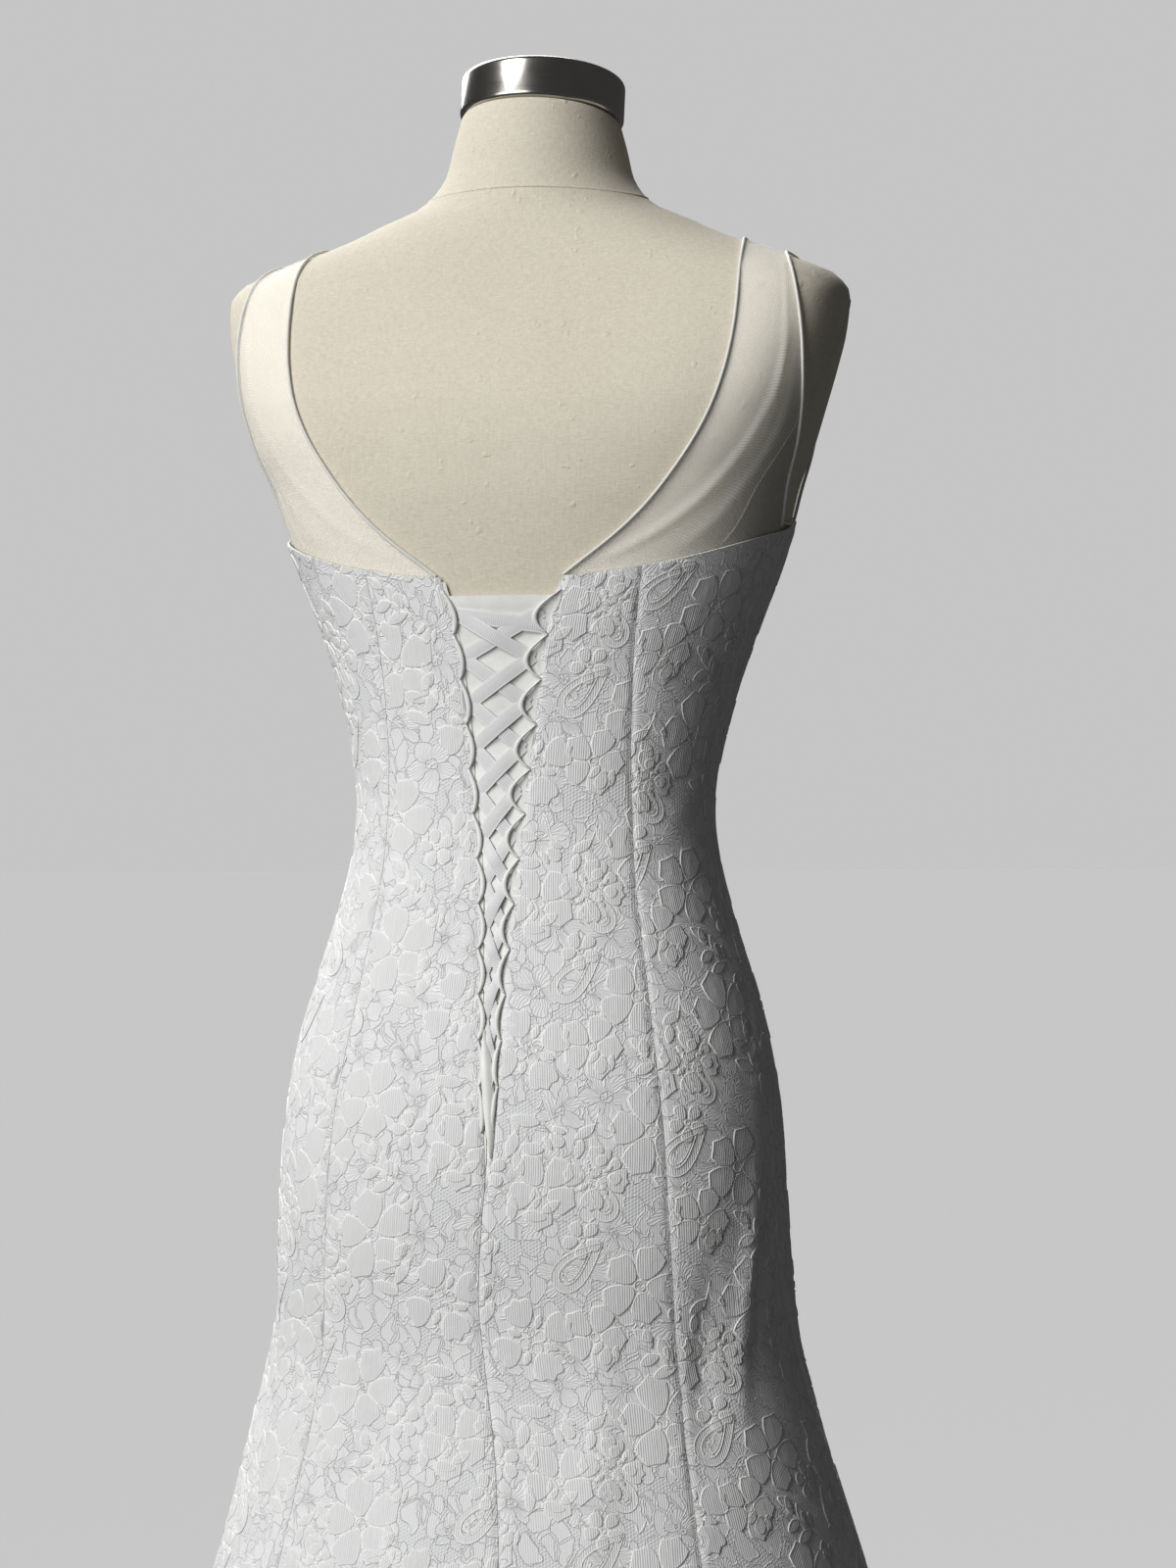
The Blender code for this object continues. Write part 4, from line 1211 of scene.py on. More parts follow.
def make_gore(pattern, node, columns):
    uniform = np.linspace(0, 1, columns + 1)
    shares = np.unique(np.concatenate([uniform, EDGE_SHARES, 1 - np.array(EDGE_SHARES)]))
    levels = np.linspace(0, 1, GORE_ROWS) ** ROW_SPREAD
    share = np.broadcast_to(shares, (len(levels), len(shares)))
    height = np.full_like(share, 1.0)
    for _ in range(4):
        angle = gore_angle(pattern, share, height)
        height = HEM + (top_edge(angle) - HEM) * levels[:, None]
    flat_rows = rows_at(pattern, height.ravel()).reshape(*height.shape, PATTERN_COLUMNS)
    place = share * (PATTERN_COLUMNS - 1)
    low = np.clip(place.astype(int), 0, PATTERN_COLUMNS - 2)
    fine = place - low
    first = np.take_along_axis(flat_rows, low[..., None], axis=2)[..., 0]
    second = np.take_along_axis(flat_rows, (low + 1)[..., None], axis=2)[..., 0]
    across = first * (1 - fine) + second * fine
    along = np.interp(height, pattern["heights"], pattern["along"])
    distance = np.minimum(across - flat_rows[..., 0], flat_rows[..., -1] - across)
    out = CLOTH_OUT + crease_depth(angle, height) - edge_dip(distance)
    points = off_body(angle, height, out)
    piece = make_cloth(pattern["name"], points, np.stack([across, along], axis=-1), CLOTH_WALL)
    dress(piece, ground, "lace_over_satin", node)
    width = float((across[:, -1] - across[:, 0]).max())
    length = float(along.max())
    area = float(np.trapz(across[:, -1] - across[:, 0], along[:, len(shares) // 2]))
    pattern["flat"] = (round(width, 3), round(length, 3))
    pattern["area"] = round(area, 3)
    return piece


def edge(index, side):
    """Edge of a gore as a function of the height: a long seam, or the opening for 0."""
    if index:
        return lambda height: seam_angle(index, height, side)
    return lambda height: opening_edge(height, side)


# left edge, right edge, columns
GORES = {
    "center_front": (lambda height: TURN - seam_angle(3, height, 1), edge(3, 1), 64),
    "side_front_L": (edge(3, 1), edge(2, 1), 34),
    "side_back_L": (edge(2, 1), edge(1, 1), 38),
    "center_back_L": (edge(1, 1), edge(0, 1), 38),
    "center_back_R": (edge(0, -1), edge(1, -1), 38),
    "side_back_R": (edge(1, -1), edge(2, -1), 38),
    "side_front_R": (edge(2, -1), edge(3, -1), 34),
}

patterns = {}
for node, (left, right, columns) in GORES.items():
    patterns[node] = make_pattern(f"cloth_{node}", left, right)
    make_gore(patterns[node], node, columns)
    print(node, "cut", patterns[node]["flat"], "m, area", patterns[node]["area"], "m2")

# %% [markdown]
# ## The lace
#
# Corded lace is clothwork and net with a thin cord sewn round every motif. Its repeat is small enough
# to chart: flowers, round-eyed blossoms, teardrops, sprays of leaves and buds, each from an outline
# that a formula gives. Every outline becomes a low closed shape with a raised cord round its edge.
# `Chart` collects these shapes.

# %% Chart
CORD_HALF = 0.00040  # from the edge of a motif to the top of its cord
CORD_WIDTH = 0.00095
CORD_RISE = 0.00062  # height of the cord over the ground
CLOTH_RISE = 0.00020  # height of the clothwork
DOME_RISE = 0.00034  # height of its middle
SUNK = -0.00030  # how far an edge lies in the ground
MILLIMETRE = 0.001  # the chart's unit, in metres


class Chart:
    """Motifs of the lace, as points (across, along, height), faces and the motif of each point."""

    def __init__(self):
        self.points, self.cord, self.motif = [], [], []
        self.quads, self.triangles = [], []
        self.count = 0
        self.motifs = 0

    def add(self, rings, cords, heights, middle=None, flat_rows=()):
        """Rings of equal length, from the outside in, closed below by the outer ring."""
        size = len(rings[0])
        here = np.arange(size)
        after = (here + 1) % size
        start = self.count
        for ring, cord, height in zip(rings, cords, heights):
            self.points.append(np.column_stack([ring, np.full(size, height)]))
            self.cord.append(np.full(size, cord))
        for row in range(len(rings) - 1):
            low, high = start + row * size, start + (row + 1) * size
            if row in flat_rows:
                self.triangles.append(np.stack([low + here, low + after, high + after], axis=1))
                self.triangles.append(np.stack([low + here, high + after, high + here], axis=1))
            else:
                quads = [low + here, low + after, high + after, high + here]
                self.quads.append(np.stack(quads, axis=1))
        self.count += size * len(rings)
        inner = start + (len(rings) - 1) * size
        if middle is None:
            quads = [inner + here, inner + after, start + after, start + here]
            self.quads.append(np.stack(quads, axis=1))
        else:
            self.points.append(np.array([[*middle, DOME_RISE]]))
            self.cord.append(np.zeros(1))
            dome = [inner + here, inner + after, np.full(size, self.count)]
            self.triangles.append(np.stack(dome, axis=1))
            self.count += 1
            fan = start + np.arange(1, size - 1)
            self.triangles.append(np.stack([np.full_like(fan, start), fan + 1, fan], axis=1))
        self.close(start)

    def close(self, start):
        """Number the points from start on as one motif."""
        self.motif.append(np.full(self.count - start, self.motifs))
        self.motifs += 1

    def filled(self, outline):
        """Clothwork with a cord round it."""
        rings = [outline, inset(outline, CORD_HALF), inset(outline, CORD_WIDTH)]
        self.add(rings, (1, 1, 0), (SUNK, CORD_RISE, CLOTH_RISE), outline.mean(axis=0))

    def ringed(self, outline, width=CORD_WIDTH, rise=CORD_RISE):
        """A closed cord alone, with the net showing inside."""
        rings = [outline, inset(outline, width / 2), inset(outline, width)]
        self.add(rings, (1, 1, 1), (SUNK, rise, SUNK))

    def corded(self, line, width=CORD_WIDTH, rise=CORD_RISE):
        """An open cord along a line, with tapered ends."""
        line = np.asarray(line)
        along = np.gradient(line, axis=0)
        along /= np.linalg.norm(along, axis=1, keepdims=True)
        aside = np.column_stack([-along[:, 1], along[:, 0]])
        taper = np.ones(len(line))
        taper[0] = taper[-1] = 0.25
        aside = aside * (taper * width / 2)[:, None]
        start = self.count
        size = len(line)
        lifted = np.column_stack([line, rise * taper])
        left = np.column_stack([line + aside, np.full(size, SUNK)])
        right = np.column_stack([line - aside, np.full(size, SUNK)])
        self.points.append(np.concatenate([left, lifted, right]))
        self.cord.append(np.ones(3 * size))
        here = start + np.arange(size - 1)
        for low, high in ((2 * size, size), (size, 0), (0, 2 * size)):
            faces = np.stack([here + low, here + low + 1, here + high + 1, here + high], axis=1)
            self.quads.append(faces)
        ends = [[start, start + size, start + 2 * size],
                [start + 3 * size - 1, start + 2 * size - 1, start + size - 1]]
        self.triangles.append(np.array(ends))
        self.count += 3 * size
        self.close(start)


# %% [markdown]
# The outlines are in millimetres and start at the foot of a petal or leaf, at 0, 0. `turned` and
# `place` bring them to their place in the chart.

# %% Outlines
def inset(outline, distance):
    """A closed outline, listed anticlockwise, moved inwards."""
    along = np.roll(outline, -1, axis=0) - np.roll(outline, 1, axis=0)
    along /= np.linalg.norm(along, axis=1, keepdims=True)
    return outline + np.column_stack([-along[:, 1], along[:, 0]]) * distance


def turned(outline, degrees):
    """The outline turned anticlockwise round 0, 0."""
    cos, sin = math.cos(math.radians(degrees)), math.sin(math.radians(degrees))
    return np.column_stack([outline[:, 0] * cos - outline[:, 1] * sin,
                            outline[:, 0] * sin + outline[:, 1] * cos])


def place(outline, across, along, turn=0.0, size=1.0):
    """Turn an outline, scale it and put it in its place, in metres."""
    return (turned(outline, turn) * size + (across, along)) * MILLIMETRE


def petal(length, breadth, points=16, scallops=3, depth=0.06, start=0.0):
    """Petal from its foot along +Y, fuller at its outer end, with a scalloped edge."""
    t = np.linspace(0, TURN, points, endpoint=False)
    y = length * (0.5 - 0.5 * np.cos(t))
    full = 0.62 + 0.55 * (y / length) ** 1.3
    x = breadth / 2 * np.sin(t) * full
    outer = np.clip((y / length - 0.45) * 2, 0, 1)
    ripple = 1 + depth * outer * np.cos(scallops * 2 * (t - math.pi))
    return np.column_stack([x * ripple, start + y * ripple])


def leaf(length, breadth, bend=0.0, points=12):
    """Pointed leaf from its foot along +Y, bent sideways."""
    t = np.linspace(0, TURN, points, endpoint=False)
    y = length * (0.5 - 0.5 * np.cos(t))
    x = breadth / 2 * np.sin(t) * (1 - 0.25 * np.cos(2 * t))
    return np.column_stack([x + bend * (y / length) ** 2, y])


def circle(radius, points=12):
    t = np.linspace(0, TURN, points, endpoint=False)
    return np.column_stack([radius * np.cos(t), radius * np.sin(t)])


def teardrop(length, breadth, points=22):
    """Teardrop with its tip curled to one side."""
    t = np.linspace(0, TURN, points, endpoint=False)
    y = length * (0.5 + 0.5 * np.cos(t))
    x = -breadth / 2 * np.sin(t) * np.sin(t / 2) ** 1.1
    curl = 0.30 * breadth * np.clip(y / length, 0, 1) ** 2.2
    return np.column_stack([x * 1.15 + curl, y])[::-1]


# %% [markdown]
# The flowers are rings of petals round an eye of net. Every motif is drawn at a place, a turn and a
# size that the chart gives.

# %% Flowers
def flower(chart, across, along, turn, size):
    """Five broad scalloped petals round a net eye."""
    for n in range(5):
        outline = petal(23 - (n % 2) * 2.5, 22, 18, 3, 0.07, 4.0)
        chart.filled(place(outline, across, along, turn + 72 * n, size))
    chart.ringed(place(circle(4.0), across, along, 0, size))


def four_eyes(chart, across, along, turn, size):
    """Four net eyes in a cross, with four wide petals outside them."""
    for n in range(4):
        angle = turn + 90 * n
        eye = circle(4.4) + (0, 6.2)
        chart.ringed(place(eye, across, along, angle, size))
        chart.filled(place(petal(20, 25, 20, 4, 0.08, 9.5), across, along, angle, size))
        chart.filled(place(leaf(11, 5, 0, 8) + (0, 8), across, along, angle + 45, size))


def blossom(chart, across, along, turn, size):
    """Small flower of five plain petals."""
    for n in range(5):
        chart.filled(place(petal(9.5, 9, 10, 1, 0.0, 2.2), across, along, turn + 72 * n, size))
    chart.ringed(place(circle(2.0, 8), across, along, 0, size), 0.001)


# %% [markdown]
# The other motifs fill the ways between the flowers: paisleys, sprays of leaves, buds and scrolls.

# %% Paisleys, sprays, buds and scrolls
def paisley(chart, across, along, turn, size, mirrored):
    """Teardrop with a band of clothwork between two cords and a hatched net inside."""
    flip = np.array([-1 if mirrored else 1, 1])
    outer = teardrop(47, 27) * flip
    inner = teardrop(34, 17) * flip + (0, 5.0)
    core = teardrop(26, 11) * flip + (0, 9.0)
    if mirrored:
        outer, inner, core = outer[::-1], inner[::-1], core[::-1]
    outer, inner, core = (place(line, across, along, turn, size) for line in (outer, inner, core))
    rings = [outer, inset(outer, CORD_HALF), inset(outer, CORD_WIDTH),
             inset(inner, -CORD_WIDTH), inset(inner, -CORD_HALF), inner]
    heights = (SUNK, CORD_RISE, CLOTH_RISE, CLOTH_RISE, CORD_RISE, SUNK)
    chart.add(rings, (1, 1, 0, 0, 1, 1), heights, flat_rows=(2,))
    chart.ringed(core, 0.0006, CORD_RISE * 0.6)
    for step in np.linspace(0.16, 0.80, 7):
        n = len(inner)
        first = inner[int(n * step / 2)]
        second = inner[n - 1 - int(n * step / 2)]
        chart.corded(np.linspace(first, second, 4), 0.0005, CORD_RISE * 0.4)


LEAF_FAN = 42  # degrees between a leaf of a spray and its stem


def spray(chart, across, along, turn, size, leaves):
    """Curved stem with pointed leaves fanning from it."""
    stem = np.linspace(0, 1, 8)
    line = np.column_stack([6 * stem**2, 30 * stem])
    chart.corded(place(line, across, along, turn, size), 0.0012)
    for n in range(leaves):
        share = (n + 0.6) / leaves
        foot_x, foot_y = 6 * share**2, 30 * share
        side = 1 if n % 2 else -1
        outline = leaf(21 - 2 * n, 7.5, side * 2.0, 12)
        fanned = turned(outline, side * -LEAF_FAN) + (foot_x, foot_y)
        chart.filled(place(fanned, across, along, turn, size))
    chart.filled(place(leaf(17, 7, 0, 12) + (6, 29), across, along, turn - 8, size))


def bud(chart, across, along, turn, size):
    """Oval bud between two sepals."""
    chart.filled(place(petal(12, 9, 12, 1, 0.0), across, along, turn, size))
    for side in (-1, 1):
        outline = leaf(10, 4.2, side * 2.2, 8) + (side * 4.5, -2.0)
        chart.filled(place(outline, across, along, turn, size))


def scroll(chart, across, along, turn, size):
    """Double cord in an S."""
    t = np.linspace(-1, 1, 11)
    for shift in (-1.4, 1.4):
        line = np.column_stack([7 * np.sin(t * 2.6) + shift, 17 * t])
        chart.corded(place(line, across, along, turn, size), 0.0011)


# %% [markdown]
# The repeat is laid out motif by motif, in another order than in the photo. Neighbouring motifs almost
# touch, so that little net is left between them.

# %% The repeat
MAKERS = {
    "flower": flower,
    "four_eyes": four_eyes,
    "blossom": blossom,
    "paisley": partial(paisley, mirrored=False),
    "paisley_back": partial(paisley, mirrored=True),
    "spray_3": partial(spray, leaves=3),
    "spray_4": partial(spray, leaves=4),
    "bud": bud,
    "scroll": scroll,
}

REPEAT_ACROSS = 128.0  # millimetres
REPEAT_ALONG = 185.0

# motif, millimetres across, millimetres along, turn in degrees, size
REPEAT = (
    ("flower", -33, 60, 12, 1.08),
    ("flower", -40, -38, -24, 0.98),
    ("flower", 26, -70, 30, 0.92),
    ("flower", 58, 22, 50, 0.80),
    ("four_eyes", 18, 20, 24, 0.92),
    ("four_eyes", 60, -62, -8, 0.70),
    ("paisley", 36, 52, -34, 0.86),
    ("paisley_back", -58, 4, 24, 0.74),
    ("spray_4", -12, 18, 18, 0.95),
    ("spray_3", 2, -18, -150, 0.95),
    ("spray_4", -16, -92, 64, 0.85),
    ("spray_3", 62, -16, 172, 0.80),
    ("spray_3", 2, 92, -50, 0.85),
    ("blossom", -62, 34, 20, 1.0),
    ("blossom", 52, 84, 30, 1.1),
    ("blossom", -10, -58, 10, 1.1),
    ("bud", -6, 84, 150, 0.9),
    ("bud", -62, -76, 160, 1.1),
    ("bud", 30, -34, 230, 1.0),
    ("bud", -22, 98, 20, 0.9),
    ("scroll", 30, -20, 60, 0.8),
    ("scroll", -8, 40, 80, 0.7),
)


def chart_repeat():
    """The charted repeat as arrays."""
    chart = Chart()
    for kind, across, along, turn, size in REPEAT:
        MAKERS[kind](chart, across, along, turn, size)
    return {
        "points": np.concatenate(chart.points),
        "cord": np.concatenate(chart.cord),
        "motif": np.concatenate(chart.motif),
        "quads": np.concatenate(chart.quads),
        "triangles": np.concatenate(chart.triangles),
        "motifs": chart.motifs,
    }


repeat = chart_repeat()
faces = 2 * len(repeat["quads"]) + len(repeat["triangles"])
print("lace repeat:", repeat["motifs"], "motifs,", faces, "triangles")

# %% [markdown]
# ## Wrapping the lace
#
# A point of the chart is so far across and so far along the flat pattern of its gore. The pattern
# says at which height and at which share of the gore's width that is, and the point is put there on
# the cloth. Points past a seam or an edge are held on it, which cuts the motif off as sewing does.

# %% From the pattern to the cloth
LACE_STARTS = {  # where the repeat starts on each gore, in shares of the repeat
    "center_front": (0.00, 0.10),
    "side_front_L": (0.30, 0.55),
    "side_back_L": (0.65, 0.20),
    "center_back_L": (0.15, 0.00),
    "center_back_R": (0.60, 0.35),
    "side_back_R": (0.25, 0.75),
    "side_front_R": (0.80, 0.45),
}


def on_pattern(pattern, across, along):
    """Angle, height, ways from the nearest seam and edge, and whether a point is on the cloth."""
    height = np.interp(along, pattern["along"], pattern["heights"])
    flat_rows = rows_at(pattern, height)
    low = np.clip((flat_rows < across[:, None]).sum(axis=1) - 1, 0, PATTERN_COLUMNS - 2)
    here = np.arange(len(across))
    first, second = flat_rows[here, low], flat_rows[here, low + 1]
    share = (low + (across - first) / (second - first)) / (PATTERN_COLUMNS - 1)
    distance = np.minimum(across - flat_rows[:, 0], flat_rows[:, -1] - across)
    inside = distance > 0
    share = np.clip(share, 0, 1)
    angle = gore_angle(pattern, share, height)
    limit = top_edge(angle)
    inside &= (height < limit) & (along > 0)
    from_edge = np.minimum(limit - height, along)
    height = np.clip(height, HEM, limit)
    angle = gore_angle(pattern, share, height)
    return angle, height, np.clip(distance, 0, None), np.clip(from_edge, 0, None), inside


# %% [markdown]
# The repeat is laid side by side, each column half a repeat higher than the one before. A motif is
# kept when more than two of its points are on the cloth. Where it is cut off, its relief fades out.

# %% Lace on the gores
CUT_TAPER = 0.0015  # over this distance a cut motif comes down to the cloth
FEW_POINTS = 2  # a motif with no more points than this on the cloth is left out


def copies(pattern, start_across, start_along):
    """Places of the repeat's points, across and along, in each copy of it that may reach a gore."""
    wide, long = REPEAT_ACROSS * MILLIMETRE, REPEAT_ALONG * MILLIMETRE
    reach = int(np.abs(pattern["across"]).max() / wide)
    for column in range(-reach - 2, reach + 3):
        for row in range(-1, int(pattern["along"][-1] / long) + 3):
            shift = (row + start_along + 0.5 * (column % 2)) * long
            across = repeat["points"][:, 0] + (column + start_across) * wide
            yield across, repeat["points"][:, 1] + shift


def wrap_lace(node):
    """All the lace of one gore, as one piece."""
    pattern = patterns[node]
    points, quads, triangles, cords, cuts = [], [], [], [], []
    count = 0
    for across, along in copies(pattern, *LACE_STARTS[node]):
        angle, height, distance, from_edge, inside = on_pattern(pattern, across, along)
        on_cloth = np.bincount(repeat["motif"], weights=inside, minlength=repeat["motifs"])
        keep = (on_cloth > FEW_POINTS)[repeat["motif"]]
        if not keep.any():
            continue
        taper = np.clip(np.minimum(distance, from_edge) / CUT_TAPER, 0, 1)
        rise = repeat["points"][:, 2]
        rise = np.where(rise > 0, rise * taper, rise)
        out = CLOTH_OUT + crease_depth(angle[keep], height[keep]) - edge_dip(distance[keep])
        points.append(off_body(angle[keep], height[keep], out + rise[keep]))
        order = np.cumsum(keep) - 1 + count
        quads.append(order[repeat["quads"][keep[repeat["quads"][:, 0]]]])
        triangles.append(order[repeat["triangles"][keep[repeat["triangles"][:, 0]]]])
        cords.append(repeat["cord"][keep])
        cuts.append(np.column_stack([across, along])[keep])
        count += int(keep.sum())
    points, quads, triangles = map(np.concatenate, (points, quads, triangles))
    piece = make_mesh(f"lace_{node}", points, quads, triangles, np.concatenate(cuts), flat_below=3)
    attribute = piece.data.attributes.new("cord", "FLOAT", "POINT")
    attribute.data.foreach_set("value", np.concatenate(cords).astype(np.float32))
    dress(piece, lacework, "lace_over_satin")
    pattern["lace"] = piece
    return 2 * len(quads) + len(triangles)


total = 0
for node in GORES:
    size = wrap_lace(node)
    total += size
    print("lace on", node, size, "triangles")
print("lace in all:", total, "triangles")

# %% [markdown]
# ## Panel, facings and lacing loops
#
# Behind the opening lies a satin panel with a turned top edge. It goes under both edges of the
# opening. A narrow facing lines each edge, in satin a little darker and warmer than the panel: partly
# an ivory tone, partly painted shade of the gap along the edge.

# %% Panel and facings
PANEL_OUT = 0.0017
PANEL_WALL = 0.0008
PANEL_TOP = 1.182
PANEL_TUCK = 0.016  # how far the panel goes under each edge
PANEL_FOLD = 0.0003  # height of its soft folds
PANEL_HEM = 0.0007  # how much thicker its turned hem is
PANEL_HEM_DEEP = 0.010
FACING_IN = 0.0020  # how far a facing shows inside the opening
FACING_TUCK = 0.0085
FACING_OUT = 0.0023
FACING_WALL = 0.0004
FACING_FOOT = 0.012  # how far over the opening's foot a facing starts
FACING_BELOW = 0.002  # how far it ends below the bodice's top edge


def strip_on_back(name, low, high, heights, columns, out, wall):
    """Cloth between two edges, given as angles at a height, the wearer's left one first."""
    shares = np.linspace(0, 1, columns)
    height = np.broadcast_to(heights[:, None], (len(heights), columns))
    angle = low(heights)[:, None] * (1 - shares) + high(heights)[:, None] * shares
    points = off_body(angle, height, out(angle, height))
    across = (low(heights)[:, None] - angle) * ring_at(height)[0]
    return make_cloth(name, points, np.stack([across, height], axis=-1), wall)


def panel_relief(angle, height):
    """Soft folds of the panel and the turned hem along its top."""
    across = angle * 0.15
    folds = PANEL_FOLD * np.sin(height * 190 + across * 60) * np.sin(height * 71 + 1.2)
    hem = PANEL_HEM * np.clip((height - PANEL_TOP + PANEL_HEM_DEEP) / 0.0012, 0, 1)
    return PANEL_OUT + folds + hem


def tucked(side, tuck):
    """Edge of the opening moved sideways, outwards for a positive tuck."""
    return lambda z: opening_edge(z, side) + side * tuck / ring_at(z)[0]


def make_panel():
    heights = np.linspace(OPENING_BOTTOM, PANEL_TOP, 100)
    piece = strip_on_back("satin_panel", tucked(1, PANEL_TUCK), tucked(-1, PANEL_TUCK), heights, 24,
                          panel_relief, PANEL_WALL)
    return dress(piece, plain_satin, "satin", "modesty_panel")


def make_facing(letter, side):
    """Narrow lining of one edge, part of it showing in the opening."""
    heights = np.linspace(OPENING_BOTTOM + FACING_FOOT, top_edge(0.0) - FACING_BELOW, 110)

    def inner(z):
        reach = np.minimum(FACING_IN, opening_at(z)[0 if side > 0 else 1] * 0.45)
        return opening_edge(z, side) - side * reach / ring_at(z)[0]

    edges = (tucked(side, FACING_TUCK), inner) if side > 0 else (inner, tucked(side, FACING_TUCK))
    piece = strip_on_back(f"placket_facing_{letter}", *edges, heights, 6,
                          lambda angle, height: np.full_like(height, FACING_OUT), FACING_WALL)
    # Its darker satin is partly painted shade.
    return dress(piece, ivory_shaded_satin, "satin")


panel = make_panel()
facings = {letter: make_facing(letter, side) for letter, side in (("L", 1), ("R", -1))}
print("panel and facings:", panel.name, [facing.name for facing in facings.values()])

# %% [markdown]
# ## Lacing loops
#
# Twelve rouleau loops are sewn along each edge. Each is a tube of satin that leaves the edge, swings
# out like a leaf and comes back. Where the opening is narrow they swing out less.

# %% Loops
LOOP_COUNT = 12
LOOP_TOP = 1.186
LOOP_BOTTOM = 0.838
LOOP_PITCH = (LOOP_TOP - LOOP_BOTTOM) / LOOP_COUNT
LOOP_REACH = {1: 0.0046, -1: 0.0112}  # how far the left and the right loops swing in
LOOP_ROOM = 0.35  # share of the opening that a loop may take up
LOOP_START = 0.0010  # how far behind the edge it starts
LOOP_OUT = 0.0035
LOOP_BULGE = 0.0009  # how much farther out its middle lies
LOOP_WIDE = 0.0030  # width of a loop's flattened tube in the middle
LOOP_THICK = 0.0020
LOOP_STEPS = 17
LOOP_SIDES = 10


def loop_reach(height, side):
    """How far a loop swings out: less where the opening is narrow."""
    return np.minimum(LOOP_REACH[side], opening_at(height).sum(axis=0) * LOOP_ROOM)


def opening_x(height, side):
    return body_point(opening_edge(height, side), height)[..., 0]


def make_loops(letter, side):
    """Flattened satin tubes, wide in the middle and narrow where they are sewn in."""
    round_it = np.linspace(0, TURN, LOOP_SIDES, endpoint=False)
    points, quads, triangles = [], [], []
    share = np.linspace(0, 1, LOOP_STEPS)
    for loop in range(LOOP_COUNT):
        start = loop * (LOOP_STEPS * LOOP_SIDES + 2)
        height = LOOP_TOP - LOOP_PITCH * (loop + 0.02 + share * 0.97)
        swing = np.sin(math.pi * share ** 1.15) ** 0.9
        reach = loop_reach(LOOP_TOP - LOOP_PITCH * (loop + 0.5), side)
        wide = LOOP_WIDE * (0.45 + 0.55 * swing)
        line = reach * swing - LOOP_START - wide * swing / 2
        inwards = line[:, None] + wide[:, None] / 2 * np.cos(round_it)
        out = LOOP_OUT + LOOP_BULGE * swing[:, None] + LOOP_THICK / 2 * np.sin(round_it)
        level = np.broadcast_to(height[:, None], inwards.shape)
        angle = opening_edge(level, side) - side * inwards / ring_at(level)[0]
        tube = off_body(angle, level, out)
        points += [tube.reshape(-1, 3), tube[[0, -1]].mean(axis=1)]
        walls, ends = tube_faces(start, LOOP_SIDES, LOOP_STEPS, side < 0)
        quads.append(walls)
        triangles.append(ends)
    points = np.concatenate(points)
    piece = make_mesh(f"rouleau_loops_{letter}", points, np.concatenate(quads),
                      np.concatenate(triangles), points[:, [0, 2]])
    return dress(piece, plain_satin, "satin", f"lacing_loops_{letter}")


loops = {letter: make_loops(letter, side) for letter, side in (("L", 1), ("R", -1))}
print("loops on each side:", LOOP_COUNT)

# %% [markdown]
# In the foot of the opening a last fold of satin is twisted down between the loops. It is widest
# and stands out most in its middle.

# %% Fold at the foot of the lacing
FOLD_HALF = 0.0034  # half width of the fold where it is widest
FOLD_OUT = 0.0040
FOLD_CROWN = 0.0012  # how much farther out its middle lies
FOLD_TILT = 0.0006
FOLD_WALL = 0.0006

# x of the middle, height, half width
FOOT_FOLD = (
    (0.0030, 0.902, 0.0006),
    (0.0022, 0.892, 0.0022),
    (0.0010, 0.876, FOLD_HALF),
    (-0.0006, 0.858, FOLD_HALF),
    (-0.0018, 0.842, 0.0026),
    (-0.0024, 0.830, 0.0014),
    (-0.0026, 0.822, 0.0004),
)


def make_foot_fold():
    """The last fold of satin, twisted down into the foot of the opening."""
    rows = np.array(FOOT_FOLD)
    heights = np.linspace(rows[0, 1], rows[-1, 1], 40)[::-1]
    middle = np.interp(heights, rows[::-1, 1], rows[::-1, 0])
    half = np.interp(heights, rows[::-1, 1], rows[::-1, 2])
    centre = (opening_x(heights, 1) + opening_x(heights, -1)) / 2
    shares = np.linspace(-1, 1, 13)
    x = -(centre[:, None] + middle[:, None] + half[:, None] * shares)
    crown = FOLD_CROWN * (1 - shares**2) * (half[:, None] / FOLD_HALF)
    level = np.broadcast_to(heights[:, None], x.shape)
    points = off_body(angle_of(-x, level), level, FOLD_OUT + crown + FOLD_TILT * shares)
    piece = make_cloth("foot_fold", points, np.stack([x, level], axis=-1), FOLD_WALL)
    return dress(piece, plain_satin, "satin")


foot_fold = make_foot_fold()
print("fold:", len(foot_fold.data.vertices), "points")

# %% [markdown]
# ## Ribbon
#
# The ribbon is flat satin with fine ribs and a firm edge. One run of it goes from a loop to the next
# one on the other side. It is arched between them and dives under the loop that holds it.

# %% One run of ribbon
RIBBON_WALL = 0.0006
RIBBON_LOW = 0.0026  # off the body line where a run dives under a loop
RIBBON_ARCH = 0.0012
RIBBON_OVER = 0.0012  # how much higher the upper run lies where two cross
RIBBON_PAST = 0.0022  # how far a run goes on past the point where it is held
RIBBON_EDGE = 0.00018  # height of the firm edge
RIBBON_BOW = 0.0004  # how much the ribbon is bowed across


def loop_hold(row, side):
    """Where the ribbon is held by a loop: x and height."""
    height = LOOP_TOP - LOOP_PITCH * (row + 0.52)
    return opening_x(height, side) - side * loop_reach(height, side) * 0.62, height


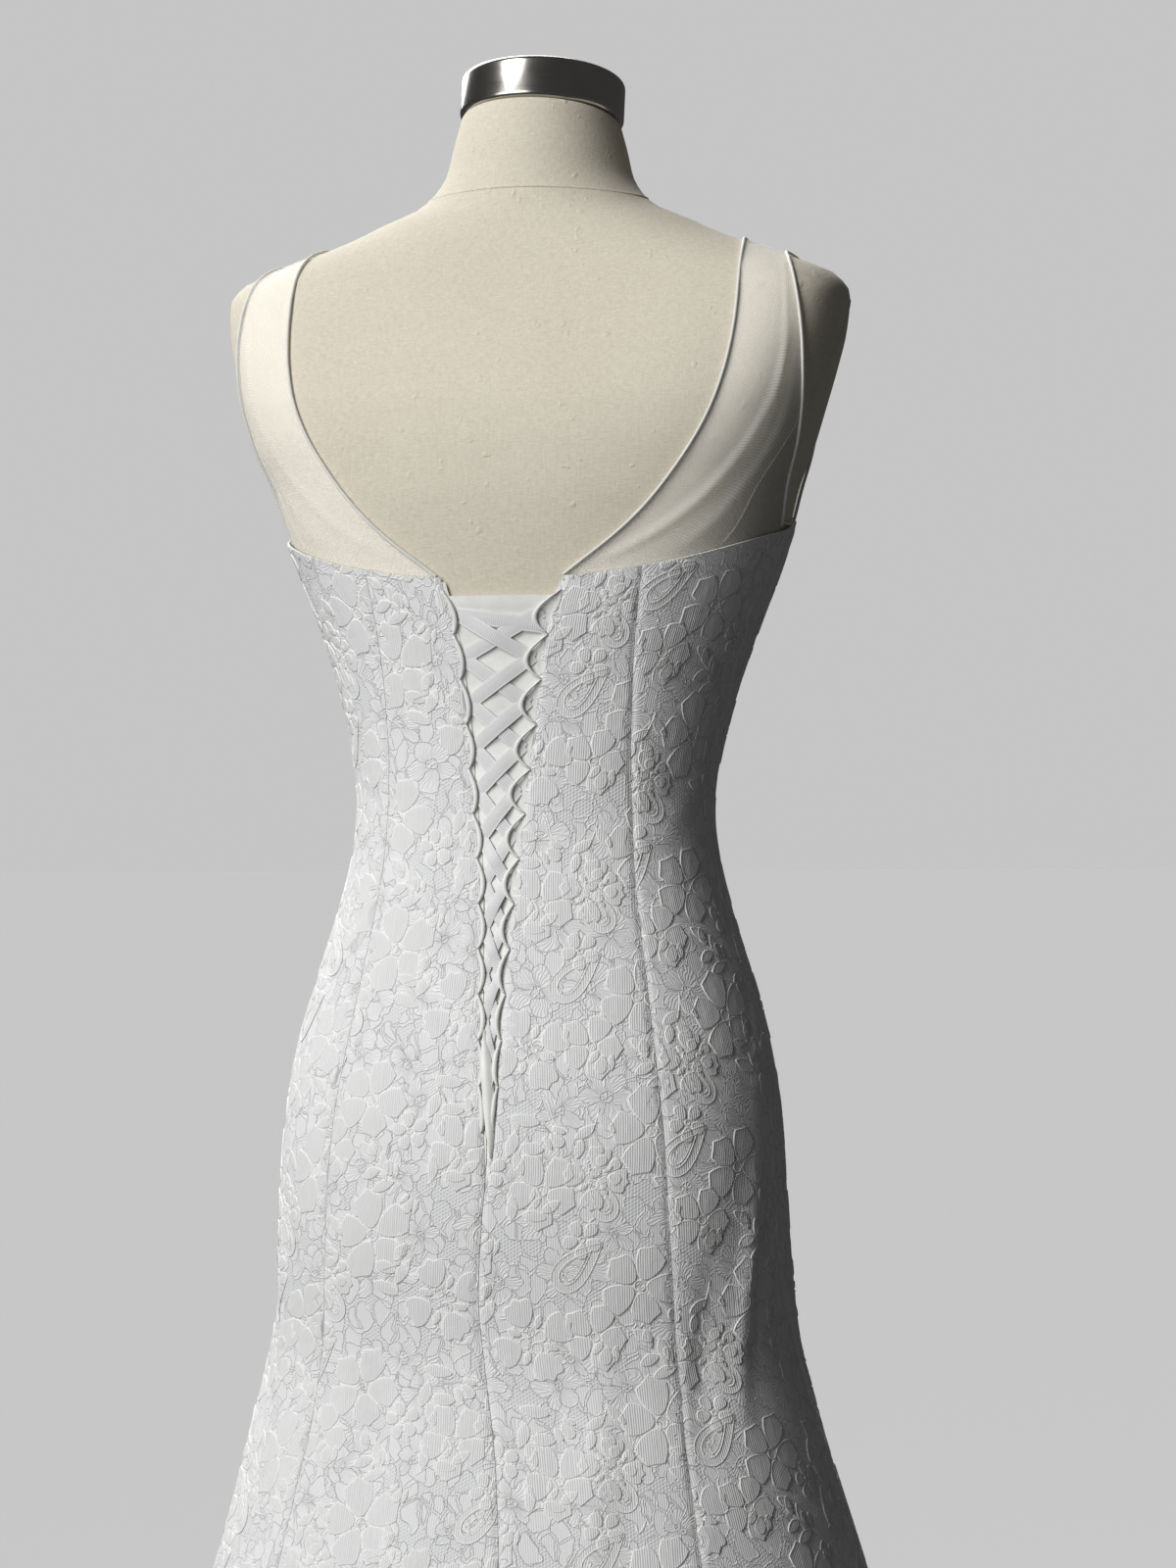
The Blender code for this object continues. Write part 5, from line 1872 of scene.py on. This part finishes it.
def make_run(name, start, end, over, width):
    """One run of ribbon between two loops, each given as x and height."""
    low, high = (start, end) if start[1] < end[1] else (end, start)
    foot = np.array([-low[0], low[1]])
    line = np.array([-high[0], high[1]]) - foot
    length = np.linalg.norm(line)
    line /= length
    aside = np.array([line[1], -line[0]])
    share = np.linspace(-RIBBON_PAST / length, 1 + RIBBON_PAST / length, 19)
    across = np.linspace(-0.5, 0.5, 9) * width
    flat = foot + share[:, None, None] * length * line + across[None, :, None] * aside
    arch = np.sin(math.pi * np.clip(share, 0, 1)) ** 0.7
    middle = np.exp(-(((share - 0.5) / 0.22) ** 2))
    out = RIBBON_LOW + RIBBON_ARCH * arch + (RIBBON_OVER * middle if over else 0)
    edge = RIBBON_EDGE * np.exp(-(((np.abs(across) - width * 0.44) / 0.0006) ** 2))
    bow = -RIBBON_BOW * (across / width * 2) ** 2
    out = out[:, None] + edge + bow
    height = flat[..., 1]
    points = off_body(angle_of(-flat[..., 0], height), height, out)
    cut = np.stack(np.broadcast_arrays(across[None, :], share[:, None] * length), axis=-1)
    return make_cloth(name, points, cut, RIBBON_WALL), length


# %% [markdown]
# Between two rows of loops one run goes each way, so the runs cross once. A list says which of the
# two lies over the other, as read in the photo. Low down, where the opening is narrow, the ribbon is
# bunched and almost upright. All the runs of one half of the ribbon become one piece.

# %% Ribbons
RIBBON_LEAST = 0.0030  # width of the bunched ribbon where the opening closes
FALLING_OVER = (True, False, False, False, False, True, False, True, False, True, False)
TOP_RUN = ((0.0285, 1.1700), (-0.0300, 1.1615))  # x and height of the two ends


def join(name, pieces):
    """Several meshes as one piece."""
    pick(*pieces)
    bpy.ops.object.join()
    pieces[0].name = name
    return pieces[0]


def make_ribbons():
    runs = {"A": [], "B": []}
    lengths = {"A": 0.0, "B": 0.0}
    areas = {"A": 0.0, "B": 0.0}
    for row in range(LOOP_COUNT - 1):
        for falling in (True, False):
            start = loop_hold(row, 1 if falling else -1)
            end = loop_hold(row + 1, -1 if falling else 1)
            ribbon = "A" if falling == (row % 2 == 0) else "B"
            gap = opening_at(end[1]).mean()
            width = min(RIBBON_WIDTH, RIBBON_LEAST + gap * 0.42)
            over = FALLING_OVER[row] == falling
            piece, length = make_run(f"run_{row}_{ribbon}", start, end, over, width)
            runs[ribbon].append(piece)
            lengths[ribbon] += length
            areas[ribbon] += length * width
    ribbons = []
    for letter in ("A", "B"):
        piece = join(f"satin_ribbon_{letter}", runs[letter])
        dress(piece, ribbon_satin, "satin", f"lacing_ribbon_{letter}")
        ribbons.append(piece)
    top, length = make_run("satin_ribbon_top", *TOP_RUN, False, RIBBON_WIDTH)
    dress(top, ribbon_satin, "satin", "lacing_ribbon_top")
    return ribbons + [top]


ribbons = make_ribbons()
print("ribbon pieces:", [piece.name for piece in ribbons])

# %% [markdown]
# ## Sheer yoke
#
# The yoke is one layer of fine net that lies on the form from the bodice to the shoulder, in a back
# and a front piece on each side. Tables give its two side edges, the neckline and the armhole, as
# half widths at a height. Both are drawn as smooth lines on the body line.

# %% Edges of the yoke
YOKE_COLUMNS = 30
YOKE_ROWS = 60
YOKE_FOOT = 0.0005  # the net starts this far over the bodice's top edge
EDGE_PASSES = 40  # of smoothing along a side edge
NECK_SHOULDER = 0.1400  # half width where the neckline crosses the shoulder
ARMHOLE_SHOULDER = 0.1680
ARMHOLE_FOOT = (84, 100)  # angles of the lower corners at the armhole, back and front

# height, half width
NECK_BACK = (
    (1.201, 0.0430), (1.213, 0.0685), (1.230, 0.0890), (1.250, 0.1065), (1.270, 0.1200),
    (1.290, 0.1338), (1.310, 0.1425), (1.335, 0.1477), (1.357, 0.1502), (1.377, 0.1508),
    (1.395, 0.1485),
)
NECK_FRONT = (
    (1.246, 0.0560), (1.262, 0.0830), (1.290, 0.1060), (1.330, 0.1230), (1.370, 0.1320),
    (1.395, 0.1360),
)
ARMHOLE_BACK = (
    (1.262, 0.1745), (1.290, 0.1840), (1.310, 0.1870), (1.327, 0.1880), (1.347, 0.1885),
    (1.370, 0.1865), (1.385, 0.1820), (1.397, 0.1755),
)
ARMHOLE_FRONT = (
    (1.255, 0.1690), (1.285, 0.1750), (1.327, 0.1790), (1.365, 0.1800), (1.392, 0.1760),
)


# %% [markdown]
# A side edge starts at the bodice, runs through its table and ends on the shoulder. Its points are
# spread evenly and small bends are smoothed away. Rows of the net then run from one side edge to
# the other, and the lowest follows the bodice.

# %% Grid of the yoke
def even_line(points, count):
    """Points spread evenly along a line through the given ones."""
    lengths = np.concatenate([[0.0], np.cumsum(np.linalg.norm(np.diff(points, axis=0), axis=1))])
    wanted = np.linspace(0, lengths[-1], count)
    return np.stack([np.interp(wanted, lengths, points[:, axis]) for axis in range(3)], axis=1)


def eased(line, passes):
    """The line with its small bends smoothed away, its ends kept."""
    line = line.copy()
    for _ in range(passes):
        line[1:-1] = (line[:-2] + 2 * line[1:-1] + line[2:]) / 4
    return line


def shoulder_point(x):
    """The highest point of the form at a half width."""
    heights = np.linspace(1.385, 1.450, 400)
    height = float(heights[np.argmin(np.abs(ring_at(heights)[0] - x))])
    return body_point(math.pi / 2, height)


def yoke_edge(table, foot_angle, shoulder, front):
    """One side edge of the yoke, from the bodice to the shoulder."""
    rows = np.array(table)
    heights = np.linspace(rows[0, 0], rows[-1, 0], 50)
    widths = smooth_table(table)(heights)[0]
    line = body_point(angle_of(widths, heights, front), heights)[1:]
    foot = body_point(foot_angle, top_edge(foot_angle) + YOKE_FOOT)
    line = even_line(np.vstack([foot, line, shoulder_point(shoulder)]), YOKE_ROWS + 1)
    return eased(line, EDGE_PASSES)


def yoke_grid(front):
    """Grid of the yoke's left half: rows upwards, columns from neckline to armhole."""
    neck_table = NECK_FRONT if front else NECK_BACK
    arm_table = ARMHOLE_FRONT if front else ARMHOLE_BACK
    corner = float(angle_of(neck_table[0][1], neck_table[0][0], front))
    foot = math.radians(ARMHOLE_FOOT[1 if front else 0])
    neck = yoke_edge(neck_table, corner, NECK_SHOULDER, front)
    arm = yoke_edge(arm_table, foot, ARMHOLE_SHOULDER, front)
    share = np.linspace(0, 1, YOKE_COLUMNS + 1)
    lower_angles = corner + (foot - corner) * share
    lower = body_point(lower_angles, top_edge(lower_angles) + YOKE_FOOT)
    fade = (1 - np.linspace(0, 1, YOKE_ROWS + 1)) ** 2
    straight = neck[:, None] * (1 - share)[:, None] + arm[:, None] * share[:, None]
    chord = lower[0] * (1 - share)[:, None] + lower[-1] * share[:, None]
    return straight + (lower - chord) * fade[:, None, None]


grids = {"back": yoke_grid(False), "front": yoke_grid(True)}
print("yoke grids:", {place_name: grid.shape for place_name, grid in grids.items()})

# %% [markdown]
# Between its edges the net is a grid that is laid on the form's surface, with a few soft folds that
# rise from the bodice. The folds are strongest at the right back, as in the photo. The net casts no
# shadow, because a net this fine hardly shades the linen under it.

# %% Net of the yoke
NET_OUT = 0.0013
NET_WALL = 0.0004
SLACK = {"back_L": 0.45, "front_L": 0.45, "back_R": 1.0, "front_R": 0.45}  # strength of the folds

# share across, share up, half length and half breadth in shares, depth, lean
NET_FOLDS = (
    (0.36, 0.26, 0.30, 0.05, 0.0020, 1.3),
    (0.60, 0.22, 0.26, 0.05, 0.0016, 1.1),
    (0.20, 0.12, 0.20, 0.05, 0.0012, 1.5),
    (0.72, 0.56, 0.26, 0.05, 0.0012, 0.6),
)


def on_form(points, out):
    """Points over the nearest places of the form."""
    laid = []
    for point in points.reshape(-1, 3):
        spot, normal, _, _ = form_surface.find_nearest(Vector(point))
        laid.append(spot + normal * out)
    return np.array(laid).reshape(points.shape)


def net_folds(strength):
    up = np.linspace(0, 1, YOKE_ROWS + 1)[:, None]
    across = np.linspace(0, 1, YOKE_COLUMNS + 1)[None, :]
    push = np.zeros((YOKE_ROWS + 1, YOKE_COLUMNS + 1))
    for middle, level, length, breadth, depth, lean in NET_FOLDS:
        along = (up - level) / length
        aside = (across - middle - lean * (up - level)) / breadth
        push += depth * np.exp(-(along**2) - aside**2)
    held = np.sin(np.pi * np.clip(across, 0, 1)) ** 0.5 * np.clip(up * 14, 0, 1)
    return push * held * strength


def make_yoke_piece(where, grid, mirrored, backwards):
    """One piece of the yoke as cloth, mirrored to the right and listed backwards where needed."""
    laid = on_form(grid, NET_OUT)
    above = on_form(grid, NET_OUT + 0.01)
    outward = above - laid
    outward /= np.linalg.norm(outward, axis=-1, keepdims=True)
    laid = laid + outward * net_folds(SLACK[where])[..., None]
    if mirrored:
        laid = laid * (-1, 1, 1)
    across = np.linalg.norm(laid - laid[:, :1], axis=-1)
    along = np.cumsum(np.linalg.norm(np.diff(laid, axis=0, prepend=laid[:1]), axis=-1), axis=0)
    if backwards:
        laid, across, along = laid[:, ::-1], across[:, ::-1], along[:, ::-1]
    piece = make_cloth(f"net_yoke_{where}", laid, np.stack([across, along], axis=-1), NET_WALL)
    piece.visible_shadow = False
    dress(piece, sheer_net, "sheer_mesh", f"yoke_{where}")


print("deepest fold of the net:", round(float(net_folds(1.0).max()), 4), "m")

# %% [markdown]
# Neckline and armholes end in a rolled binding about 2 mm thick. The neckline's runs from the back
# over the shoulder to the front. The armhole's is closed by one more point under the arm, and its
# two neighbours are lifted to the same height, so that it stays clear of the bodice.

# %% Bindings and the finished yoke
BINDING_RADIUS = 0.00105
BINDING_OUT = NET_OUT + 0.0006
BINDING_FOOT = 0.0022  # how far over the bodice's top edge it runs under the arm
BINDING_PASSES = 6  # of smoothing along it


def rolled_line(column):
    """Line of a binding along a column of the grids, up the back and down the front."""
    edges = np.vstack([grids["back"][:, column], grids["front"][::-1, column]])
    return eased(on_form(even_line(edges, 2 * YOKE_ROWS), BINDING_OUT), BINDING_PASSES)


neck = rolled_line(0)
foot = math.radians(sum(ARMHOLE_FOOT) / 2)
under_arm = body_point(foot, top_edge(foot) + BINDING_FOOT)
armhole = np.vstack([rolled_line(-1), on_form(under_arm[None, :], BINDING_OUT)])
neighbours = [0, -2]
armhole[neighbours, 2] = np.maximum(armhole[neighbours, 2], armhole[-1, 2])
binding = make_satin("net_binding", (0.82, 0.81, 0.77), 0.6, 0)
for letter, side in (("L", 1), ("R", -1)):
    for place_name, grid in grids.items():
        mirrored = side < 0
        backwards = (place_name == "back") != mirrored
        make_yoke_piece(f"{place_name}_{letter}", grid, mirrored, backwards)
    for kind, line, closed in (("neck", neck, False), ("armhole", armhole, True)):
        piece = make_tube(f"rolled_{kind}_{letter}", [line * (side, 1, 1)], [BINDING_RADIUS], closed)
        lay_uv(piece.data, np.array([vertex.co for vertex in piece.data.vertices])[:, [1, 2]])
        dress(piece, binding, "satin", f"{kind}_binding_{letter}")
        print(piece.name, len(piece.data.vertices), "points")

# %% [markdown]
# ## What is cloth
#
# The gores, the panel and the facings are the cloth, and the lace and the loops are on them. This cell
# only reads the width of the opening at fifty heights, from its foot to the panel's top.

# %% Sheets
open_width = opening_at(np.linspace(OPENING_BOTTOM, PANEL_TOP, 50)).sum(axis=0)
